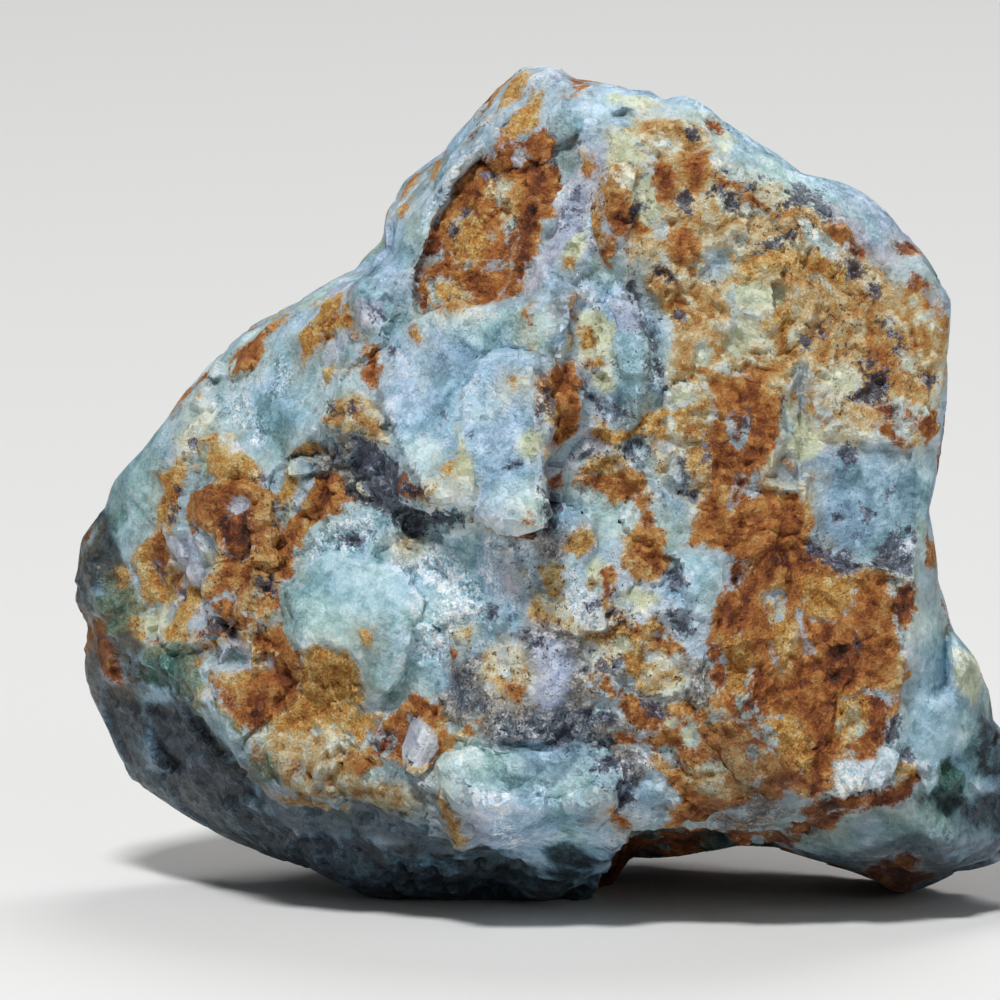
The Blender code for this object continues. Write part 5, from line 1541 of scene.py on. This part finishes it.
def crust_tone_at(points, share, reach, clouds):
    """The place on the crusts' scale: their own places weighed by their shares, mottled and streaked."""
    weight = sum(share[kind] + LEAST_SHARE for kind in CRUSTS)
    tone, mottle = (
        sum((share[kind] + LEAST_SHARE) * CRUSTS[kind][field] for kind in CRUSTS) / weight
        for field in (0, 1))
    across, along, level, seed = STREAKS
    upright = np.stack([points[:, 0] / across, points[:, 1] / across, points[:, 2] / along], axis=1)
    tone += share["rust"] * level * soft_noise(upright, 1.0, seed)
    tone -= LIGHT_BORDER[0] * (1.0 - smooth_step(0.0, LIGHT_BORDER[1], reach))
    return tone + mottle * clouds


def tones_at(points, inside, flake_tone):
    """The values that the material reads, from the distances inside the kinds.

    Each kind's share is an S curve of its distance, moved to and fro by noise. The crusts' shares weigh
    their places on the crusts' scale, and the opal's kinds are laid over each other on the opal's scale.
    """
    mixing = layered(BORDER_MIXING, points)
    clouds = layered(CLOUDS, points)
    flaky = FLAKE_CONTRAST * flake_tone
    share = {kind: smooth_step(-RUN_TOGETHER, RUN_TOGETHER, inside[kind] + mixing) for kind in KINDS}
    opal = np.full(len(points), OPAL_TONE)
    for kind, tone in OPAL_TONES.items():
        opal += share[kind] * (tone - opal)
    creamy = smooth_step(*CREAMY_BORDER, inside["sand"])
    crust = np.max([inside[kind] for kind in CRUSTS], axis=0) + mixing
    hue = layered(HUES, points)
    lilac = share["lilac"] + LILAC_IN_BLUE * share["blue"] + DRIFTING_LILAC * np.maximum(hue, 0.0)
    green = MINT_IN_CLEAR * (share["teal"] + share["glassy"]) + MINT_IN_PALE * share["pale"]
    return {
        "opal_tone": opal + CLOUDS_IN_OPAL * clouds + flaky + CREAMY_LIGHTNESS * creamy,
        "crust_tone": crust_tone_at(points, share, crust, clouds) - FLAKES_IN_CRUST * flaky,
        "crust": crust,
        "gravel": inside["gravel"] + mixing,
        "dark": inside["dark"] + MIXING_IN_DARK * mixing,
        "glassy": share["glassy"] + share["blue"],
        "shade": share["shade"] + SHADE_IN_SLATE * share["slate"],
        "yellow": share["ochre"],
        "speckled": sum(amount * share[kind] for kind, amount in SPECKLED.items()),
        "lilac": lilac.clip(0.0, 1.0),
        "mint": (np.maximum(-hue, 0.0) + green).clip(0.0, 1.0),
        "lime": np.maximum(share["lime"], CREAMY_LIME * creamy),
        "moss": share["moss"],
    }


def make_stone():
    """The stone as one closed mesh, with the values that its material reads on its vertices."""
    points, quads = cube_sphere(CELLS_PER_SIDE)
    surface, inside, flake_tone, pepper, painted_shade = stone_surface(spread_rays(points), quads)
    mesh = bpy.data.meshes.new("opal_stone_looks")
    mesh.from_pydata((surface * MILLIMETRE).tolist(), [], quads.tolist())
    mesh.polygons.foreach_set("use_smooth", np.ones(len(quads), dtype=bool))
    values = tones_at(surface, inside, flake_tone)
    values["pepper"] = pepper
    # Painted shade where the face turns down or away deepens the shade value there
    values["shade"] = np.maximum(values["shade"], PAINTED_SHADE_AMOUNT * painted_shade)
    # How hollow or crested each point is, which the material turns into painted shade in hollows and painted
    # light on crests
    hollow = smoothed_over(hollowness(surface, quads), quads)
    values["hollow"] = (hollow / FULL_HOLLOW).clip(-1.0, 1.0)
    for name, numbers in values.items():
        attribute = mesh.attributes.new(name, "FLOAT", "POINT")
        attribute.data.foreach_set("value", numbers.astype(np.float32))
    mesh.update()
    mesh.set_sharp_from_angle(angle=SHARP_FROM)
    stone = bpy.data.objects.new("rough_opal_stone", mesh)
    bpy.context.scene.collection.objects.link(stone)
    return stone


class Worth:
    """A socket of a material. An expression on it adds the nodes that work it out."""

    def __init__(self, tree, socket):
        self.tree = tree
        self.socket = socket

    def node(self, kind, settings, values, output=0):
        """Adds a node, sets its settings first, and then the values or links of its sockets."""
        made = self.tree.nodes.new(kind)
        for name, setting in settings.items():
            if name == "stops":
                set_stops(made.color_ramp, setting)
            else:
                setattr(made, name, setting)
        for name, value in values.items():
            if isinstance(value, Worth):
                self.tree.links.new(value.socket, made.inputs[name])
            else:
                made.inputs[name].default_value = value
        return Worth(self.tree, made.outputs[output])

    def maths(self, operation, first, second):
        """Two values joined by a sum, a product or the like."""
        return self.node("ShaderNodeMath", {"operation": operation}, {0: first, 1: second})

    def vectors(self, operation, first, second, output=0):
        """The same for two vectors."""
        return self.node("ShaderNodeVectorMath", {"operation": operation}, {0: first, 1: second}, output)

    def __add__(self, other):
        return self.maths("ADD", self, other)

    __radd__ = __add__

    def __sub__(self, other):
        return self.maths("SUBTRACT", self, other)

    def __rsub__(self, other):
        return self.maths("SUBTRACT", other, self)

    def __mul__(self, other):
        return self.maths("MULTIPLY", self, other)

    __rmul__ = __mul__

    def step(self, low, high):
        """0 below low, 1 above high, and an S curve between them."""
        return self.node("ShaderNodeMapRange", {"interpolation_type": "SMOOTHSTEP"},
                         {"Value": self, "From Min": low, "From Max": high})

    def mixed(self, other, share):
        """This colour turned into the other by the share."""
        return self.node("ShaderNodeMix", {"data_type": "RGBA"}, {0: share, 6: self, 7: other}, output=2)

    def ramp(self, stops):
        """The colour at this place between the stops."""
        return self.node("ShaderNodeValToRGB", {"stops": stops}, {"Fac": self})

    def attribute(self, name):
        """The value that the vertices carry under a name."""
        return self.node("ShaderNodeAttribute", {"attribute_name": name}, {}, output="Fac")

    def first_part(self):
        """The first part of this colour or vector."""
        return self.node("ShaderNodeSeparateXYZ", {}, {"Vector": self}, output="X")

    def noise(self, scale, detail, roughness):
        """Cloudy noise about 0, from about -1 to 1, with so many waves to the millimetre."""
        cloudy = self.node("ShaderNodeTexNoise", {}, {
            "Vector": self, "Scale": scale, "Detail": detail, "Roughness": roughness})
        return (cloudy - 0.5) * 3.0

    def cells(self, scale, output):
        """Scattered cells, so many to the millimetre: an odd colour of each, or the place of its middle."""
        return self.node("ShaderNodeTexVoronoi", {}, {"Vector": self, "Scale": scale}, output=output)


def linear(channel):
    """A channel from 0 to 255 as it is seen, turned into the light that it stands for."""
    part = channel / 255.0
    return part / 12.92 if part <= 0.04045 else ((part + 0.055) / 1.055) ** 2.4


def seen(colour):
    """A colour of three channels from 0 to 255 as the material takes it."""
    return tuple(linear(channel) for channel in colour) + (1.0,)


def set_stops(ramp, stops):
    """Gives a ramp its colours, evenly spread from 0 to 1."""
    ramp.elements[1].position = 1.0
    for index in range(1, len(stops) - 1):
        ramp.elements.new(index / (len(stops) - 1))
    for element, stop in zip(ramp.elements, stops):
        element.color = seen(stop)


class Grain:
    """The finest grain of the stone at a place in millimetres, as heights from about -1 to 1.

    Lumps and grit are cloudy noise. Flakes and chips are cells that those two bend, each of an odd tone, and
    every flake also has an odd tilt: the height over it is the way from its middle, measured along the tilt.
    """

    def __init__(self, place):
        self.lumps = place.noise(*LUMPS)
        self.grit = place.noise(*GRIT)
        both = place.node("ShaderNodeCombineXYZ", {}, {
            "X": self.lumps, "Y": self.grit, "Z": self.lumps - self.grit})
        moved = place.node("ShaderNodeVectorMath", {"operation": "SCALE"}, {0: both, "Scale": BENDING})
        bent = place.vectors("ADD", place, moved)
        flake = bent.cells(FLAKES_PER_MM, "Color")
        away = place.vectors("SUBTRACT", bent, bent.cells(FLAKES_PER_MM, "Position"))
        lean = place.vectors("SUBTRACT", flake, (0.5, 0.5, 0.5))
        self.tilted = place.vectors("DOT_PRODUCT", away, lean, output="Value")
        self.flakes = flake.first_part() - 0.5
        self.chips = bent.cells(CHIPS_PER_MM, "Color").first_part() - 0.5
        self.fine = self.lumps * 0.5 + self.grit * 0.5
        self.speckled = place.attribute("speckled")
        self.hollow = place.attribute("hollow")
        # Painted shade in hollows and painted light on crests, from how hollow the surface is
        self.hollow_shade = self.hollow * HOLLOW_SHADE

    def more(self, amounts):
        """An amount at rest, and more of it where the kind is speckled."""
        return self.speckled * amounts[1] + amounts[0]

    def edge(self, amounts):
        """The pixels that lumps and grit move a border by."""
        return self.lumps * amounts[0] + self.grit * amounts[1]


def opal_colours(place, grain):
    """The opal's place on its scale and its colour there, with the hues, the moss and the gravel over it.

    The last value is the gravel's share.
    """
    coarse = grain.lumps * OPAL_LUMPS + grain.grit * grain.more(OPAL_GRIT)
    tone = place.attribute("opal_tone") + coarse * (1.0 - place.attribute("glassy") * GLASSY_CALM)
    # Painted shade in hollows darkens the opal's tone, and painted light on crests lightens it
    tone = tone + grain.flakes * grain.more(OPAL_FLAKES) - grain.hollow_shade + grain.chips * grain.more(OPAL_CHIPS)
    colour = tone.ramp(OPAL_COLOURS)
    for hue, colours in (("mint", MINT_COLOURS), ("lilac", LILAC_COLOURS), ("lime", LIME_COLOURS)):
        colour = colour.mixed(tone.ramp(colours), place.attribute(hue) * COVER[hue])
    moss = (place.attribute("moss") + grain.fine * MOSS_GRAIN).step(*ONSET["moss"])
    colour = colour.mixed(tone.ramp(MOSS_COLOURS), moss)
    gravel = (place.attribute("gravel") + grain.edge(BORDER_GRAIN)).step(*ONSET["gravel"])
    gravel_tone = tone + grain.fine * GRAVEL_GRAIN[0] + grain.flakes * GRAVEL_GRAIN[1] - GRAVEL_DARKER
    return tone, colour.mixed(gravel_tone.ramp(GRAVEL_COLOURS), gravel * COVER["gravel"]), gravel


def crusts_over(colour, place, grain):
    """The colour with a stain and the crusts laid over it, and the crusts' share."""
    reach = place.attribute("crust") + grain.edge(BORDER_GRAIN)
    stain = reach.step(*ONSET["stain"]) * (grain.fine * STAIN_STRENGTH[1] + STAIN_STRENGTH[0])
    colour = colour.mixed(seen(STAIN_COLOUR), stain)
    tone = place.attribute("crust_tone") + grain.lumps * CRUST_LUMPS + grain.grit * grain.more(CRUST_GRIT)
    # Painted shade in hollows moves the crust's tone darker, and painted light on crests moves it lighter
    tone = tone - grain.flakes * CRUST_FLAKES + grain.hollow_shade * HOLLOW_SHADE_IN_CRUST
    veins = (grain.lumps * grain.lumps).step(*ONSET["veins"])
    tone = tone + veins * VEINS_IN_CRUST - grain.chips * grain.more(CRUST_CHIPS)
    crust_colour = tone.ramp(CRUST_COLOURS).mixed(
        tone.ramp(YELLOW_COLOURS), place.attribute("yellow") * COVER["yellow"])
    crust = reach.step(*ONSET["crust"])
    return colour.mixed(crust_colour, crust), crust


def darks_over(colour, place, grain, crust):
    """The colour with dark minerals, black specks, pale glints and the shade laid over it."""
    dark = (place.attribute("dark") + grain.edge(DARK_GRAIN)).step(*ONSET["dark"])
    by_lumps, by_grit, by_flakes = DARK_MOVED
    dark_tone = grain.lumps * by_lumps + DARK_MIDDLE + grain.grit * by_grit + grain.flakes * by_flakes
    colour = colour.mixed(dark_tone.ramp(DARK_COLOURS), dark * COVER["dark"])
    less_grit, in_crust, in_pepper = SPECK_NOISE
    specks = grain.lumps - grain.grit * less_grit + crust * in_crust + place.attribute("pepper") * in_pepper
    colour = colour.mixed(seen(SPECK_COLOUR), specks.step(*ONSET["specks"]) * COVER["specks"])
    glints = grain.grit - grain.lumps * GLINT_NOISE[0] - grain.hollow * GLINT_NOISE[1]
    colour = colour.mixed(seen(GLINT_COLOUR), glints.step(*ONSET["glints"]) * COVER["glints"])
    return colour.mixed(seen(SHADE_COLOUR), place.attribute("shade") * COVER["shade"])


def make_material():
    """The opal and its crusts, laid over each other inside their borders, with finer noise on every border.

    The vertices carry a place on each colour scale. Finer noise moves that place, so that the grains of a
    patch run through its own colours, and moves the borders by a few pixels of the face.
    """
    material = bpy.data.materials.new("rough_opal_and_limonite")
    material.use_nodes = True
    tree = material.node_tree
    shader = tree.nodes["Principled BSDF"]
    metres = Worth(tree, None).node("ShaderNodeTexCoord", {}, {}, output="Object")
    place = metres.vectors("MULTIPLY", metres, (1.0 / MILLIMETRE,) * 3)
    grain = Grain(place)
    opal_tone, colour, gravel = opal_colours(place, grain)
    colour, crust = crusts_over(colour, place, grain)
    colour = darks_over(colour, place, grain, crust)

    dull = opal_tone.step(*ONSET["dull"]) * (FROST_ROUGHNESS - OPAL_ROUGHNESS) + OPAL_ROUGHNESS
    coarse = crust.maths("MAXIMUM", crust, gravel)
    roughness = dull + coarse * (CRUST_ROUGHNESS - dull)
    tilt = FLAKE_TILT - place.attribute("glassy") * GLASSY_FLAT
    height = grain.tilted * tilt + grain.lumps * LUMP_HEIGHT
    height = height + grain.grit * (coarse * GRIT_HEIGHT[1] + GRIT_HEIGHT[0])
    bump = place.node("ShaderNodeBump", {}, {"Height": height, "Strength": 1.0, "Distance": MILLIMETRE})

    tree.links.new(colour.socket, shader.inputs["Base Color"])
    tree.links.new(roughness.socket, shader.inputs["Roughness"])
    tree.links.new(bump.socket, shader.inputs["Normal"])
    shader.inputs["IOR"].default_value = OPAL_REFRACTION
    return material


def make_floor():
    """A plain pale floor, wide enough to fill the view."""
    half = FLOOR_HALF_WIDTH
    mesh = bpy.data.meshes.new("pale_floor")
    mesh.from_pydata([(-half, -half, 0.0), (half, -half, 0.0), (half, half, 0.0), (-half, half, 0.0)], [],
                     [(0, 1, 2, 3)])
    floor = bpy.data.objects.new("pale_floor", mesh)
    bpy.context.scene.collection.objects.link(floor)
    material = bpy.data.materials.new("pale_floor_paint")
    material.use_nodes = True
    shader = material.node_tree.nodes["Principled BSDF"]
    shader.inputs["Base Color"].default_value = FLOOR_COLOUR
    shader.inputs["Roughness"].default_value = FLOOR_ROUGHNESS
    mesh.materials.append(material)


def make_lights():
    """Soft lights aimed at the stone's middle, and an even grey light from all round."""
    for name, (place, width, power) in LIGHTS.items():
        light = bpy.data.lights.new(name, "AREA")
        light.size = width
        light.energy = power
        holder = bpy.data.objects.new(name, light)
        holder.location = place
        holder.rotation_euler = (Vector(LIT_POINT) - Vector(place)).to_track_quat("-Z", "Y").to_euler()
        bpy.context.scene.collection.objects.link(holder)
    world = bpy.data.worlds.new("even_grey_light")
    world.use_nodes = True
    world.node_tree.nodes["Background"].inputs["Color"].default_value = WORLD_COLOUR
    world.node_tree.nodes["Background"].inputs["Strength"].default_value = WORLD_BRIGHTNESS
    bpy.context.scene.world = world
    bpy.context.scene.view_settings.view_transform = "Standard"


def make_camera():
    """A long lens, aimed at the point of the face that lies in the middle of the image."""
    across, rise = from_pixels(IMAGE_PIXELS / 2.0, IMAGE_PIXELS / 2.0)
    middle = to_part(np.array([[across, rise, 0.0]]))[0] * MILLIMETRE
    look = Vector((0.0, math.cos(FACE_LEAN), -math.sin(FACE_LEAN)))
    lens = bpy.data.cameras.new("camera")
    lens.sensor_width = SENSOR_WIDTH
    lens.lens = SENSOR_WIDTH * CAMERA_DISTANCE / (IMAGE_PIXELS / PIXELS_PER_MM * MILLIMETRE)
    lens.clip_start, lens.clip_end = SIGHT_FROM_TO
    camera = bpy.data.objects.new("camera", lens)
    camera.location = Vector(middle) - look * CAMERA_DISTANCE
    camera.rotation_euler = look.to_track_quat("-Z", "Y").to_euler()
    bpy.context.scene.collection.objects.link(camera)
    bpy.context.scene.camera = camera


stone = make_stone()
stone.data.materials.append(make_material())
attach(stone, "root")
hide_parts("opal_stone")
make_floor()
make_lights()
make_camera()
